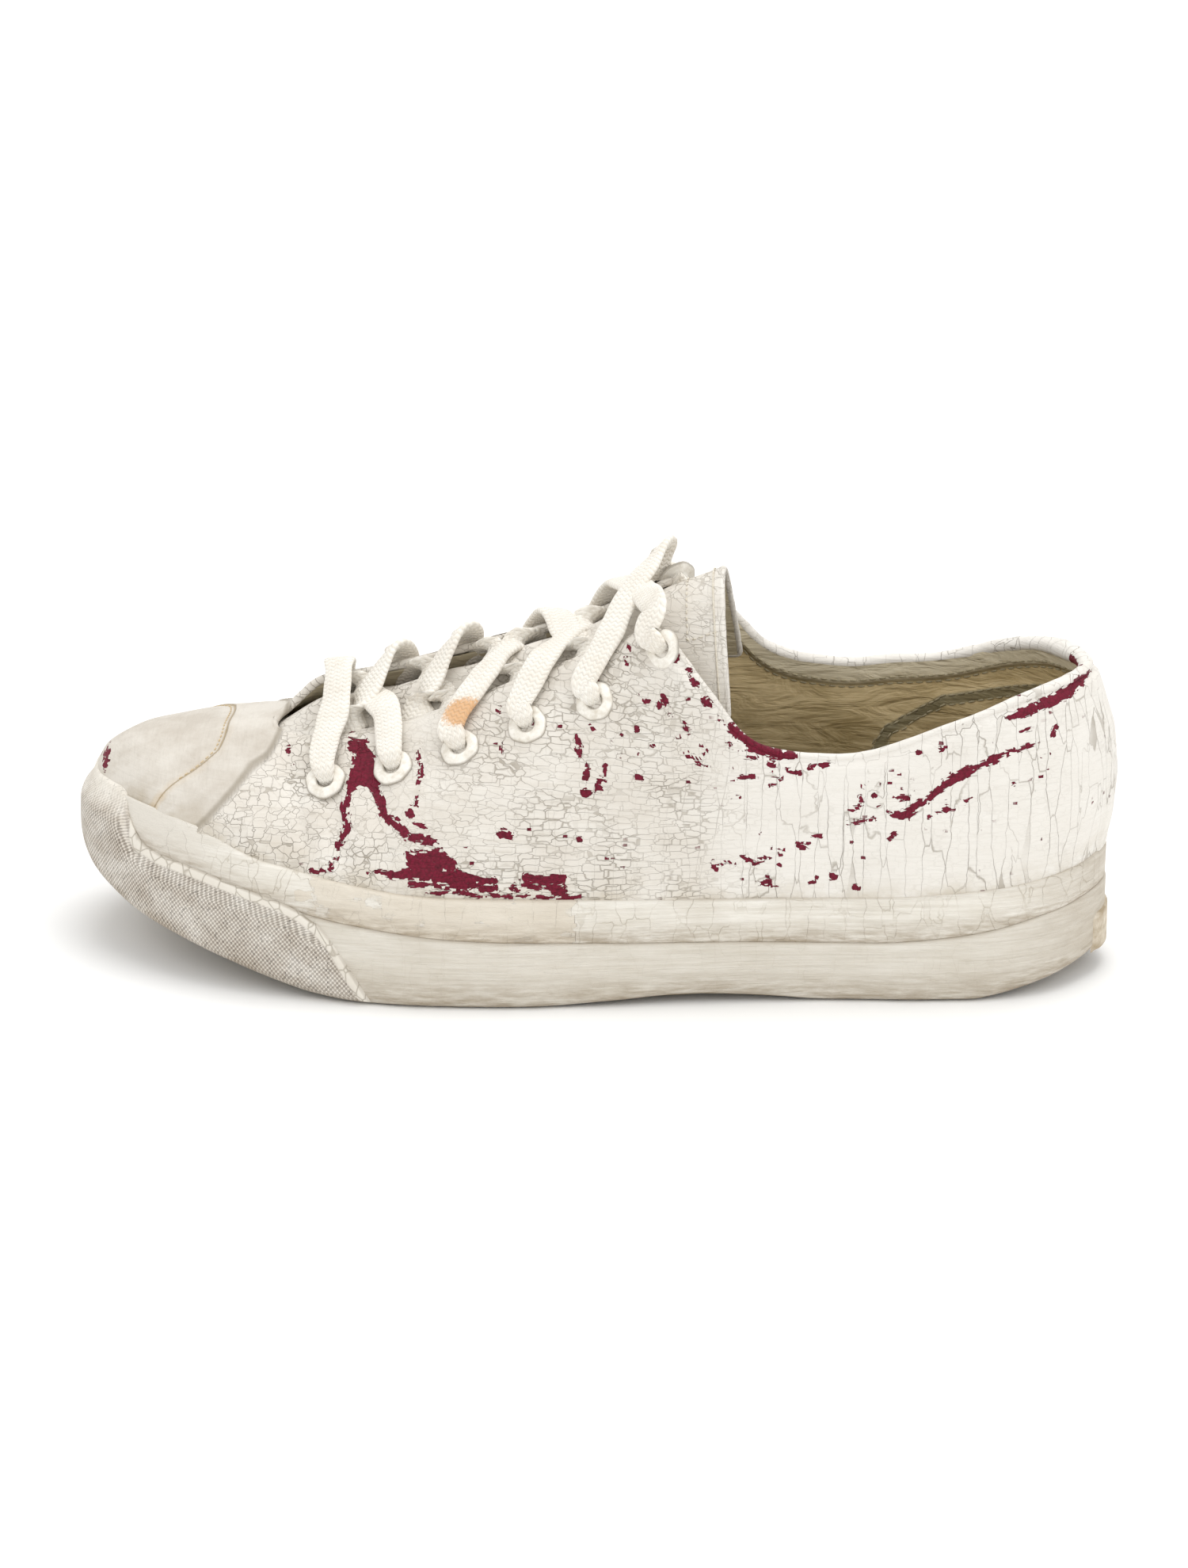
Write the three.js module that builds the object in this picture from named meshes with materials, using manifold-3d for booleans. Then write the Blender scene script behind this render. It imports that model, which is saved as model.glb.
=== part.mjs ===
// Worn low-top sneaker, left foot, vulcanised construction: a hollow leather upper on a rubber sole,
// wrapped by two foxing tapes and a toe bumper, with six eyelets a side. Millimetres, +Z up.
// The toe points to -X, the lateral side to -Y, and the origin is on the ground under the middle.
// Every shell and tape is cut between larger and smaller forms of one last-shaped function.
import * as THREE from 'three';
import { mergeVertices } from 'three/addons/utils/BufferGeometryUtils.js';
import Module from 'manifold-3d';

const wasm = await Module();
wasm.setup();

// Driving dimensions
const LENGTH = 298; // heel to the outside of the toe bumper
const HALF = LENGTH / 2;
const GAP = 0.3; // between pieces that meet
const WALL = 2; // leather and lining together
const TAPE = 2.4; // foxing tape
const BUMPER = 1.6; // toe bumper over the foxing
const LABEL = 1.2; // heel label over the foxing
const INSOLE = 4;
const TONGUE = 2.4;
const CORE_FOREFOOT = 13; // rubber under the insole
const CORE_HEEL = 16;
const COLLAR_TILT = 0.033; // the collar runs higher on the medial side
const CURL = 6.5; // rise of the worn medial eyestay's edge
const CURL_REACH = 15;
const EYELETS = 6;
const FIRST_EYELET = -71.8;
const EYELET_PITCH = 19.2;
const EYELET_ROW = { lateral: -26.4, medial: 23 }; // from the middle line, in plan
const EYELET_HOLE = 2.2;
const EYELET_BARREL = 2.9;
const EYELET_FLANGE = 4.7;
const EYELET_ROOM = 1.5; // under the wall, for the barrels' inner ends
const LACE_WIDTH = 8.5;
const LACE = 1.2;
const LACE_LIFT = 3.6; // over the eyestay edge, to the middle of the lace
const TOP = 220; // above every cut
const BELOW = -8; // below the ground

// A smooth curve through hand-set points that never overshoots between them.
function curveThrough(points) {
  const slopes = points.slice(1).map((p, i) => (p[1] - points[i][1]) / (p[0] - points[i][0]));
  const tangents = points.map((_, i) => {
    if (i === 0) return slopes[0];
    if (i === points.length - 1) return slopes[i - 1];
    const [before, after] = [slopes[i - 1], slopes[i]];
    return before * after <= 0 ? 0 : (2 * before * after) / (before + after);
  });
  return (x) => {
    if (x <= points[0][0]) return points[0][1];
    if (x >= points.at(-1)[0]) return points.at(-1)[1];
    const i = points.findIndex((p) => p[0] > x) - 1;
    const step = points[i + 1][0] - points[i][0];
    const t = (x - points[i][0]) / step;
    const rise = points[i + 1][1] - points[i][1];
    const blend = t * t * (3 - 2 * t);
    const bend = t * (1 - t) * ((1 - t) * tangents[i] - t * tangents[i + 1]) * step;
    return points[i][1] + rise * blend + bend;
  };
}

const smooth = (t) => THREE.MathUtils.smoothstep(t, 0, 1);

// Plan outline of the foxing, lateral side from toe to heel, then medial side back to the toe.
const soleOutline = new THREE.CatmullRomCurve3(
  [
    [-147.2, 8], [-143, -9.5], [-133.5, -21.5], [-119, -33.5], [-99, -43], [-74, -49.5],
    [-49, -52.6], [-19, -51.8], [11, -47.2], [41, -42], [71, -38], [101, -36], [121, -32.5],
    [136, -24.5], [145, -13], [149, 0], [145, 13], [136, 24.5], [121, 32.5], [101, 35.5],
    [71, 34.5], [41, 34.5], [11, 38], [-19, 44], [-49, 49], [-74, 50], [-99, 47.5],
    [-119, 42], [-133.5, 34], [-143, 23.5],
  ].map(([x, y]) => new THREE.Vector3(x, y, 0)),
  true,
  'centripetal',
);

// Side-view lines, as heights along the shoe.
const groundLine = curveThrough([
  [-149, 31], [-146, 26.5], [-141, 22], [-128, 16], [-112, 11.5], [-89, 5.2], [-72, 1.2], [-60, 0],
  [-12, 0], [12, 1.2], [32, 2.5], [52, 1.6], [72, 0], [112, 0], [119, 1], [128, 2.8], [137, 4.8], [149, 7.5],
]);
const bandLine = curveThrough([
  [-149, 37], [-124, 35.5], [-107, 32.5], [-80, 27.2], [-65, 24.6], [-33, 21.2], [0, 20],
  [40, 19], [84, 18.2], [104, 19.6], [118, 21.8], [132, 24.6], [149, 27],
]);
const foxingTop = curveThrough([
  [-149, 48], [-124, 47.5], [-107, 45.6], [-89, 40], [-70, 37], [-36, 33.5], [0, 33.2],
  [65, 31.6], [109, 33.6], [149, 37],
]);
const footbed = (x) => groundLine(x) + THREE.MathUtils.lerp(CORE_FOREFOOT, CORE_HEEL, smooth((x + 20) / 60));
const collarLine = curveThrough([
  [12, TOP], [15, 112], [18, 105], [22, 103.8], [27.6, 101.6], [33.8, 96], [39, 90.4],
  [46, 81.6], [52, 77.6], [60, 75.4], [73, 74.4], [89, 76.8], [104, 80.8], [120, 86.4],
  [131, 89.2], [150, 90.4],
]);

// Last sections: ridge height by distance from the toe, and the fullness of each section.
const ridgeRise = curveThrough([
  [0, 36], [0.8, 43.5], [2.5, 49.5], [5.5, 54.3], [12.4, 58.4], [19.5, 60.6], [28, 62.2], [38, 63.6],
  [55, 66.4], [75, 70.5], [90, 74.5], [105, 80], [120, 87], [135, 94], [148, 100.5], [160, 109],
  [168, 120], [180, 152], [196, 200], [298, 200],
]);
const lateralFullness = curveThrough([
  [0, 2.1], [25, 2.3], [50, 1.8], [70, 1.4], [100, 1.35], [145, 1.45], [168, 1.5], [195, 2], [298, 2],
]);
const medialFullness = curveThrough([
  [0, 2.1], [25, 2.3], [60, 1.9], [100, 1.75], [145, 2.05], [165, 2.6], [195, 2.3], [298, 2],
]);
const topFullness = curveThrough([
  [0, 2], [45, 1.9], [70, 1.55], [100, 1.6], [145, 1.8], [168, 2.2], [195, 2], [298, 2],
]);
const domeStart = curveThrough([[0, 34], [40, 32], [80, 30], [298, 30]]);
const lateralLean = curveThrough([[160, 0], [200, 0.04], [240, 0.04], [275, 0]]);
const medialLean = curveThrough([[160, 0], [200, 0.12], [230, 0.1], [275, 0]]);
const ridgeShare = curveThrough([[0, 0.5], [60, 0.52], [140, 0.54], [200, 0.5], [298, 0.5]]);
const heelCurve = curveThrough([
  [4, -5.5], [12, -3.2], [20, -1], [27, 0], [37, 0.2], [48, 2.2], [58, 2.9], [71, 2], [80, -0.6],
  [90, -4], [110, -12],
]);

// Throat: half width of the slot between the eyestays.
const THROAT_FRONT = -90;
const slotHalf = curveThrough([
  [THROAT_FRONT, 0], [-89.3, 3.5], [-87, 6.5], [-82, 9], [-74, 10.5], [-60, 11], [-30, 11.5],
  [0, 12.5], [12, 14.5], [20, 16.5], [26, 19], [30, 23],
]);

// Outline of the last grown outwards by `out`, as lateral and medial half widths over x.
const outlines = new Map();
function outlineAt(out) {
  if (outlines.has(out)) return outlines.get(out);
  const samples = 360;
  const grow = out - TAPE - GAP;
  const ring = Array.from({ length: samples }, (_, i) => {
    const point = soleOutline.getPointAt(i / samples);
    const along = soleOutline.getTangentAt(i / samples);
    return [point.x + along.y * grow, point.y - along.x * grow];
  });
  const toe = ring.reduce((best, p, i) => (p[0] < ring[best][0] ? i : best), 0);
  const heel = ring.reduce((best, p, i) => (p[0] > ring[best][0] ? i : best), 0);
  const walk = (from, to) => {
    const side = [];
    for (let i = from; i !== to; i = (i + 1) % samples) side.push(ring[i]);
    side.push(ring[to]);
    return side;
  };
  const lateral = walk(toe, heel);
  const medial = walk(heel, toe).reverse();
  const found = { toe: ring[toe][0], heel: ring[heel][0], lateral, medial };
  outlines.set(out, found);
  return found;
}

function sideAt(side, x) {
  if (x >= side.at(-1)[0]) return side.at(-1)[1];
  const i = Math.max(1, side.findIndex((p) => p[0] >= x));
  const [a, b] = [side[i - 1], side[i]];
  const t = b[0] === a[0] ? 0 : THREE.MathUtils.clamp((x - a[0]) / (b[0] - a[0]), 0, 1);
  return a[1] + (b[1] - a[1]) * t;
}

// Everything that one section of the last grown by `out` needs at station x.
function sectionAt(x, out) {
  const outline = outlineAt(out);
  const fromToe = x - outline.toe;
  const lateral = sideAt(outline.lateral, x);
  const medial = sideAt(outline.medial, x);
  return {
    fromToe,
    lateral,
    medial,
    middle: lateral + (medial - lateral) * ridgeShare(fromToe),
    start: domeStart(fromToe),
    ridge: ridgeRise(fromToe) + out * smooth(fromToe / 15),
  };
}

// Share of its half width that a section still has at `rise`, its share of the ridge height.
const shareAt = (section, fullness, rise) =>
  (1 - rise ** topFullness(section.fromToe)) ** (1 / fullness(section.fromToe));

const heelShift = (x, z) => heelCurve(z) * smooth((x - 70) / 65);

// The last grown by `out`, as a closed solid that reaches below the ground.
function lastForm(out) {
  const stations = 32;
  const rises = 8;
  const outline = outlineAt(out);
  const rows = [];
  for (let i = 0; i <= stations; i += 1) {
    const u = i / stations;
    const spread = THREE.MathUtils.lerp(u, (1 - Math.cos(Math.PI * u)) / 2, 0.85);
    const x = THREE.MathUtils.lerp(outline.toe, outline.heel, spread);
    const section = sectionAt(x, out);
    const half = (edge, side, fullness, leanOf) => {
      const points = [[x, edge, BELOW], [x, edge, section.start]];
      for (let k = 1; k <= rises; k += 1) {
        const rise = Math.min(1, Math.sin((k / rises) * (Math.PI / 2)) ** 1.15);
        const above = (section.ridge - section.start) * rise;
        const lean = side * leanOf(section.fromToe) * above * (1 - rise);
        const y = section.middle + (edge - section.middle) * shareAt(section, fullness, rise) + lean;
        const z = section.start + above;
        points.push([x + heelShift(x, z), y, z]);
      }
      return points;
    };
    const lateral = half(section.lateral, -1, lateralFullness, lateralLean);
    const medial = half(section.medial, 1, medialFullness, medialLean);
    rows.push([...lateral, ...medial.reverse().slice(1)]);
  }
  return solidOfRows(rows);
}

// Closed solid from rows of points, each a closed ring; end rings that aren't already shut get a cap.
function solidOfRows(rows, capped = false) {
  const count = rows[0].length;
  const index = [];
  for (let i = 0; i + 1 < rows.length; i += 1) {
    for (let j = 0; j < count; j += 1) {
      const a = i * count + j;
      const b = i * count + ((j + 1) % count);
      index.push(a, a + count, b, b, a + count, b + count);
    }
  }
  const caps = capped ? [[0, false], [rows.length - 1, true]] : [];
  for (const [row, flip] of caps) {
    for (let j = 1; j + 1 < count; j += 1) {
      const [a, b, c] = [row * count, row * count + j, row * count + j + 1];
      index.push(...(flip ? [a, c, b] : [a, b, c]));
    }
  }
  const geometry = new THREE.BufferGeometry();
  geometry.setAttribute('position', new THREE.Float32BufferAttribute(rows.flat(2), 3));
  geometry.setIndex(index);
  return solid(geometry);
}

// three.js geometry to a manifold solid and back.
function solid(geometry) {
  const bare = geometry.clone();
  bare.deleteAttribute('normal');
  bare.deleteAttribute('uv');
  const merged = mergeVertices(bare, 1e-4);
  const vertices = merged.attributes.position.array;
  const triangles = [];
  for (let i = 0; i < merged.index.count; i += 3) {
    const [a, b, c] = [0, 1, 2].map((k) => merged.index.getX(i + k));
    if (a !== b && b !== c && c !== a) triangles.push(a, b, c);
  }
  return new wasm.Manifold(
    new wasm.Mesh({
      numProp: 3,
      vertProperties: new Float32Array(vertices),
      triVerts: new Uint32Array(triangles),
    }),
  );
}

function geometryOf(form) {
  const mesh = form.getMesh();
  const geometry = new THREE.BufferGeometry();
  geometry.setAttribute('position', new THREE.Float32BufferAttribute(mesh.vertProperties, 3));
  geometry.setIndex(Array.from(mesh.triVerts));
  geometry.computeVertexNormals();
  return geometry;
}

// Solid between two side-view lines, right across the shoe.
function sideBand(lower, upper, from = -HALF - 8, to = HALF + 8) {
  const steps = 26;
  const xs = Array.from({ length: steps + 1 }, (_, i) => from + ((to - from) * i) / steps);
  return sideCut([...xs.map((x) => [x, lower(x)]), ...xs.reverse().map((x) => [x, upper(x)])]);
}

function sideCut(points) {
  const shape = new THREE.Shape(points.map(([x, z]) => new THREE.Vector2(x, z)));
  const cut = new THREE.ExtrudeGeometry(shape, { depth: 160, bevelEnabled: false });
  return solid(cut.rotateX(Math.PI / 2).translate(0, 80, 0));
}

const innerLast = (extra) => lastForm(-WALL - extra);

// Underside: grooves across the forefoot and the heel leave bars that carry the shoe.
function treadGrooves() {
  const groove = (x) => solid(new THREE.BoxGeometry(2.4, 160, 3).translate(x, 0, 0));
  const forefoot = [-62, -50, -38, -26, -14].map(groove);
  const heel = [78, 90, 102, 114].map(groove);
  return [...forefoot, ...heel].reduce((all, next) => all.add(next));
}

function outsole() {
  return lastForm(0).intersect(sideBand(groundLine, footbed)).subtract(treadGrooves());
}

function tape(from, out, lower, upper) {
  const ring = lastForm(out).subtract(lastForm(from));
  return ring.intersect(sideBand(lower, upper));
}

function toeBumper() {
  const inside = TAPE + 2 * GAP;
  const shell = lastForm(inside + BUMPER).subtract(lastForm(inside));
  const side = [[-HALF - 8, 38], [-149, 31.6], [-146, 27], [-141, 22.6], [-128, 16.6], [-112, 12], [-89, 5.8], [-72, 2], [-65, 1]];
  const edge = [[-69, 10.5], [-78, 24], [-84, 28.5], [-102, 32], [-122, 34.5], [-130, 38], [-132, 43], [-HALF - 8, 43]];
  return shell.intersect(sideCut([...side, ...edge]));
}

function heelLabel() {
  const inside = TAPE + 2 * GAP;
  const shell = lastForm(inside + LABEL).subtract(lastForm(inside));
  return shell.intersect(solid(new THREE.BoxGeometry(40, 24, 12).translate(140, 0, 12.5)));
}

// Height of the upper's outer face, read off the last's own facets.
const faceMesh = new THREE.Mesh(geometryOf(lastForm(0)), new THREE.MeshBasicMaterial({ side: THREE.DoubleSide }));
function faceHeight(x, y) {
  const down = new THREE.Raycaster(new THREE.Vector3(x, y, TOP), new THREE.Vector3(0, 0, -1));
  return down.intersectObject(faceMesh)[0].point.z;
}

// How far the medial eyestay has curled up at its edge.
function stayCurl(x, y) {
  const inward = THREE.MathUtils.clamp(1 - (y - slotHalf(x)) / CURL_REACH, 0, 1);
  const along = smooth((x + 88) / 20) * (1 - 0.8 * smooth((x + 45) / 50)) * (1 - smooth((x - 4) / 18));
  return y > 0 ? CURL * inward ** 2 * along : 0;
}

function facePoint(x, y, lift = 0) {
  return new THREE.Vector3(x, y, faceHeight(x, y) + stayCurl(x, y) + lift);
}

function faceNormal(x, y) {
  const step = 1.5;
  const along = facePoint(x + step, y).sub(facePoint(x - step, y));
  const across = facePoint(x, y + step).sub(facePoint(x, y - step));
  return along.cross(across).normalize();
}

function throatCut() {
  const steps = 26;
  const xs = Array.from({ length: steps + 1 }, (_, i) => THROAT_FRONT + (120 * i) / steps);
  const side = (sign) => xs.map((x) => new THREE.Vector2(x, sign * slotHalf(x)));
  const shape = new THREE.Shape([...side(-1), ...side(1).reverse().slice(0, -1)]);
  const cut = new THREE.ExtrudeGeometry(shape, { depth: TOP, bevelEnabled: false });
  return solid(cut);
}

function collarCut() {
  const steps = 26;
  const xs = Array.from({ length: steps + 1 }, (_, i) => 13 + ((HALF + 8 - 13) * i) / steps);
  const cut = sideCut([...xs.map((x) => [x, collarLine(x)]), [HALF + 8, TOP + 5], [12, TOP + 5]]);
  return cut.warp((v) => {
    v[2] += v[1] * COLLAR_TILT;
  });
}

function eyeletSpots(side) {
  return Array.from({ length: EYELETS }, (_, i) => ({
    x: FIRST_EYELET + EYELET_PITCH * i,
    y: EYELET_ROW[side],
  }));
}

function alongNormal(geometry, { x, y }, lift) {
  const normal = faceNormal(x, y);
  const turn = new THREE.Quaternion().setFromUnitVectors(new THREE.Vector3(0, 1, 0), normal);
  const at = facePoint(x, y).addScaledVector(normal, lift);
  return geometry.applyQuaternion(turn).translate(at.x, at.y, at.z);
}

function upper() {
  const shell = lastForm(0).subtract(innerLast(0));
  const onSole = sideBand((x) => footbed(x) + GAP, () => TOP);
  const open = shell.intersect(onSole).subtract(throatCut()).subtract(collarCut());
  const curled = open.warp((v) => {
    v[2] += v[2] > 45 ? stayCurl(v[0], v[1]) : 0;
  });
  const holes = ['lateral', 'medial'].flatMap((side) =>
    eyeletSpots(side).map((spot) =>
      solid(alongNormal(new THREE.CylinderGeometry(EYELET_BARREL + GAP, EYELET_BARREL + GAP, 14, 12), spot, 0)),
    ),
  );
  return holes.reduce((form, hole) => form.subtract(hole), curled);
}

// A barrel through the wall under a flange on the outer face.
function eyelet(spot) {
  const outer = 0.8;
  const inner = -WALL - 0.4;
  const profile = [
    [EYELET_HOLE, inner - 0.5], [EYELET_BARREL, inner - 0.5], [EYELET_BARREL, outer],
    [EYELET_FLANGE, outer], [EYELET_FLANGE - 0.3, outer + 0.8], [EYELET_HOLE, outer + 0.8],
    [EYELET_HOLE, inner - 0.5],
  ].map(([r, z]) => new THREE.Vector2(r, z));
  return solid(alongNormal(new THREE.LatheGeometry(profile, 10), spot, 0));
}

function insole() {
  const slab = sideBand((x) => footbed(x) + GAP, (x) => footbed(x) + GAP + INSOLE);
  return innerLast(GAP + 0.4).intersect(slab);
}

// The tongue lies under the eyestays and stands up out of the throat, arched across the foot.
const TONGUE_LINE = [[-98, 57.5], [-80, 60], [-60, 64.5], [-30, 76], [0, 91], [18, 100.5], [30, 108], [38, 115]];
function tongue() {
  const line = curveThrough(TONGUE_LINE);
  const halfWidth = curveThrough([[-98, 15], [-80, 20], [-30, 24], [10, 27], [28, 29], [38, 22]]);
  const arch = curveThrough([[-98, 0.009], [-40, 0.013], [0, 0.02], [38, 0.016]]);
  const stations = 16;
  const across = 8;
  const rows = [];
  for (let i = 0; i <= stations; i += 1) {
    const x = THREE.MathUtils.lerp(-98, 38, i / stations);
    const slope = (line(x + 1) - line(x - 1)) / 2;
    const tilt = Math.atan(slope);
    const point = (j, depth) => {
      const y = halfWidth(x) * (-1 + (2 * j) / across);
      return [x + depth * Math.sin(tilt), y, line(x) - arch(x) * y * y - depth * Math.cos(tilt)];
    };
    const face = Array.from({ length: across + 1 }, (_, j) => point(j, 0));
    const back = Array.from({ length: across + 1 }, (_, j) => point(j, TONGUE)).reverse();
    rows.push([...face, ...back]);
  }
  const wall = lastForm(GAP).subtract(innerLast(EYELET_ROOM));
  return solidOfRows(rows, true).subtract(wall);
}

// The lace as joined flat bars over the throat: one straight bar at the front, then five crossings.
function laces() {
  const end = (row, side) => {
    const x = FIRST_EYELET + EYELET_PITCH * row;
    return facePoint(x, side * (slotHalf(x) + 0.5), LACE_LIFT);
  };
  const bar = (from, to) => {
    const span = new THREE.Vector3().subVectors(to, from);
    const side = new THREE.Vector3().crossVectors(new THREE.Vector3(0, 0, 1), span).normalize();
    const up = new THREE.Vector3().crossVectors(span, side).normalize();
    const turn = new THREE.Matrix4().makeBasis(span.clone().normalize(), side, up);
    const middle = new THREE.Vector3().addVectors(from, to).multiplyScalar(0.5);
    const box = new THREE.BoxGeometry(span.length(), LACE_WIDTH, LACE).applyMatrix4(turn);
    return solid(box.translate(middle.x, middle.y, middle.z));
  };
  const bars = [bar(end(0, -1), end(0, 1))];
  for (let row = 0; row + 1 < EYELETS; row += 1) {
    bars.push(bar(end(row, -1), end(row + 1, 1)), bar(end(row, 1), end(row + 1, -1)));
  }
  return bars.reduce((all, next) => all.add(next));
}

const shoe = new THREE.Group();
function piece(name, form, color, roughness, metalness = 0) {
  const bodies = form.decompose().sort((a, b) => b.volume() - a.volume());
  const material = new THREE.MeshStandardMaterial({ color, roughness, metalness });
  const mesh = new THREE.Mesh(geometryOf(bodies[0]), material);
  mesh.name = name;
  shoe.add(mesh);
}

const lowerTape = TAPE + GAP;
piece('outsole', outsole(), 0xb9ab8c, 0.8);
piece('foxing_lower', tape(GAP, lowerTape, (x) => groundLine(x) + 0.7, (x) => bandLine(x) - GAP / 2), 0xe4e0d4, 0.7);
piece('foxing_upper', tape(GAP, lowerTape - 0.4, (x) => bandLine(x) + GAP / 2, foxingTop), 0xdedacd, 0.7);
piece('toe_bumper', toeBumper(), 0xd9d3c5, 0.75);
piece('heel_label', heelLabel(), 0xd6d0c2, 0.7);
piece('upper', upper(), 0xece9e0, 0.6);
piece('insole', insole(), 0x9c8f70, 0.9);
piece('tongue', tongue(), 0xe2ddd0, 0.75);
piece('laces', laces(), 0xefebe2, 0.9);
for (const side of ['lateral', 'medial']) {
  eyeletSpots(side).forEach((spot, i) => {
    piece(`eyelet_${side}_${i + 1}`, eyelet(spot), 0xe6e2d7, 0.5, 0.6);
  });
}

export default shoe;
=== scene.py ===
"""Looks of a worn left sneaker: cracked white house paint over burgundy leather on a foxed rubber sole."""
import functools
import math

import bmesh
import bpy
import numpy as np
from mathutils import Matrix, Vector


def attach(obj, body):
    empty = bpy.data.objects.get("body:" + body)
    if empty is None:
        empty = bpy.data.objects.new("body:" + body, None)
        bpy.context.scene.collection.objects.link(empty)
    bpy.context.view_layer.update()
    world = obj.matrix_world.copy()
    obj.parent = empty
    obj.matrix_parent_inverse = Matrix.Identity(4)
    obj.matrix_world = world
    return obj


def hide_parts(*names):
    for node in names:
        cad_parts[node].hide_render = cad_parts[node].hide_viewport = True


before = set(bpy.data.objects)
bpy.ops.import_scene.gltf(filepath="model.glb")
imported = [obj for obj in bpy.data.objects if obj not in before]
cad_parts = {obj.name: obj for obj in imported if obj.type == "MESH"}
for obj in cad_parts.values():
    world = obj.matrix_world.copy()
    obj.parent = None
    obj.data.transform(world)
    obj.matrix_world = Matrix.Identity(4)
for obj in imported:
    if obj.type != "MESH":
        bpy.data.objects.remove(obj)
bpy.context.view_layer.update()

# ------------------------------
# Upper: toe cap, vamp and quarters of burgundy leather, lasted over a foot form, then brushed with a thick
# coat of white house paint. The paint has crazed where the shoe bends and flaked off where it is knocked.
# Everything else is made over the same form, so its shape comes first. Toe at -X, lateral side at -Y, in mm.
MM = 0.001
LATERAL, MEDIAL = -1, 1
TAPE, GAP, WALL = 2.4, 0.3, 2.0


def curve_through(points):
    """A smooth curve through given points that never overshoots between them."""
    xs, ys = np.array(points, float).T
    slopes = np.diff(ys) / np.diff(xs)
    before, after = slopes[:-1], slopes[1:]
    both = np.where(before + after == 0, 1, before + after)
    inner = np.where(before * after > 0, 2 * before * after / both, 0)
    tangents = np.concatenate([slopes[:1], inner, slopes[-1:]])

    def value(x):
        x = np.clip(np.asarray(x, float), xs[0], xs[-1])
        i = np.clip(np.searchsorted(xs, x, side="right") - 1, 0, len(xs) - 2)
        step = xs[i + 1] - xs[i]
        t = (x - xs[i]) / step
        bend = t * (1 - t) * ((1 - t) * tangents[i] - t * tangents[i + 1]) * step
        return ys[i] + (ys[i + 1] - ys[i]) * t * t * (3 - 2 * t) + bend

    return value


def smooth(t):
    t = np.clip(t, 0, 1)
    return t * t * (3 - 2 * t)


SOLE_OUTLINE = np.array([
    [-147.2, 8], [-143, -9.5], [-133.5, -21.5], [-119, -33.5], [-99, -43], [-74, -49.5],
    [-49, -52.6], [-19, -51.8], [11, -47.2], [41, -42], [71, -38], [101, -36], [121, -32.5],
    [136, -24.5], [145, -13], [149, 0], [145, 13], [136, 24.5], [121, 32.5], [101, 35.5],
    [71, 34.5], [41, 34.5], [11, 38], [-19, 44], [-49, 49], [-74, 50], [-99, 47.5],
    [-119, 42], [-133.5, 34], [-143, 23.5],
])


def closed_spline(points, steps=40):
    """Centripetal Catmull-Rom through a closed ring of points."""
    rows = []
    t = np.arange(steps)[:, None] / steps
    for i in range(len(points)):
        p0, p1, p2, p3 = (points[(i + k - 1) % len(points)] for k in range(4))
        d0, d1, d2 = (np.sqrt(np.linalg.norm(b - a)) for a, b in ((p0, p1), (p1, p2), (p2, p3)))
        m1 = ((p1 - p0) / d0 - (p2 - p0) / (d0 + d1) + (p2 - p1) / d1) * d1
        m2 = ((p2 - p1) / d1 - (p3 - p1) / (d1 + d2) + (p3 - p2) / d2) * d1
        cubic = 2 * (p1 - p2) + m1 + m2
        rows.append(p1 + m1 * t + (3 * (p2 - p1) - 2 * m1 - m2) * t**2 + cubic * t**3)
    return np.concatenate(rows)


outline = closed_spline(SOLE_OUTLINE)
outline_run = np.roll(outline, -1, 0) - np.roll(outline, 1, 0)
outline_run /= np.linalg.norm(outline_run, axis=1)[:, None]
outline_out = np.stack([outline_run[:, 1], -outline_run[:, 0]], 1)

# Side-view lines of the sole and the top, as heights along the shoe.
ground_line = curve_through([
    [-149, 31], [-146, 26.5], [-141, 22], [-128, 16], [-112, 11.5], [-89, 5.2], [-72, 1.2], [-60, 0],
    [-12, 0], [12, 1.2], [32, 2.5], [52, 1.6], [72, 0], [112, 0], [119, 1], [128, 2.8], [137, 4.8],
    [149, 7.5],
])
band_line = curve_through([
    [-149, 37], [-124, 35.5], [-107, 32.5], [-80, 27.2], [-65, 24.6], [-33, 21.2], [0, 20],
    [40, 19], [84, 18.2], [104, 19.6], [118, 21.8], [132, 24.6], [149, 27],
])
foxing_top = curve_through([
    [-149, 48], [-124, 47.5], [-107, 45.6], [-89, 40], [-70, 37], [-36, 33.5], [0, 33.2],
    [65, 31.6], [109, 33.6], [149, 37],
])
collar_line = curve_through([
    [12, 220], [15, 112], [18, 105], [22, 103.8], [27.6, 101.6], [33.8, 96], [39, 90.4],
    [46, 81.6], [52, 77.6], [60, 75.4], [73, 74.4], [89, 76.8], [104, 80.8], [120, 86.4],
    [131, 89.2], [150, 90.4],
])
ridge_rise = curve_through([
    [0, 36], [0.8, 43.5], [2.5, 49.5], [5.5, 54.3], [12.4, 58.4], [19.5, 60.6], [28, 62.2], [38, 63.6],
    [55, 66.4], [75, 70.5], [90, 74.5], [105, 80], [120, 87], [135, 94], [148, 100.5], [160, 109],
    [168, 120], [180, 152], [196, 200], [298, 200],
])
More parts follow.
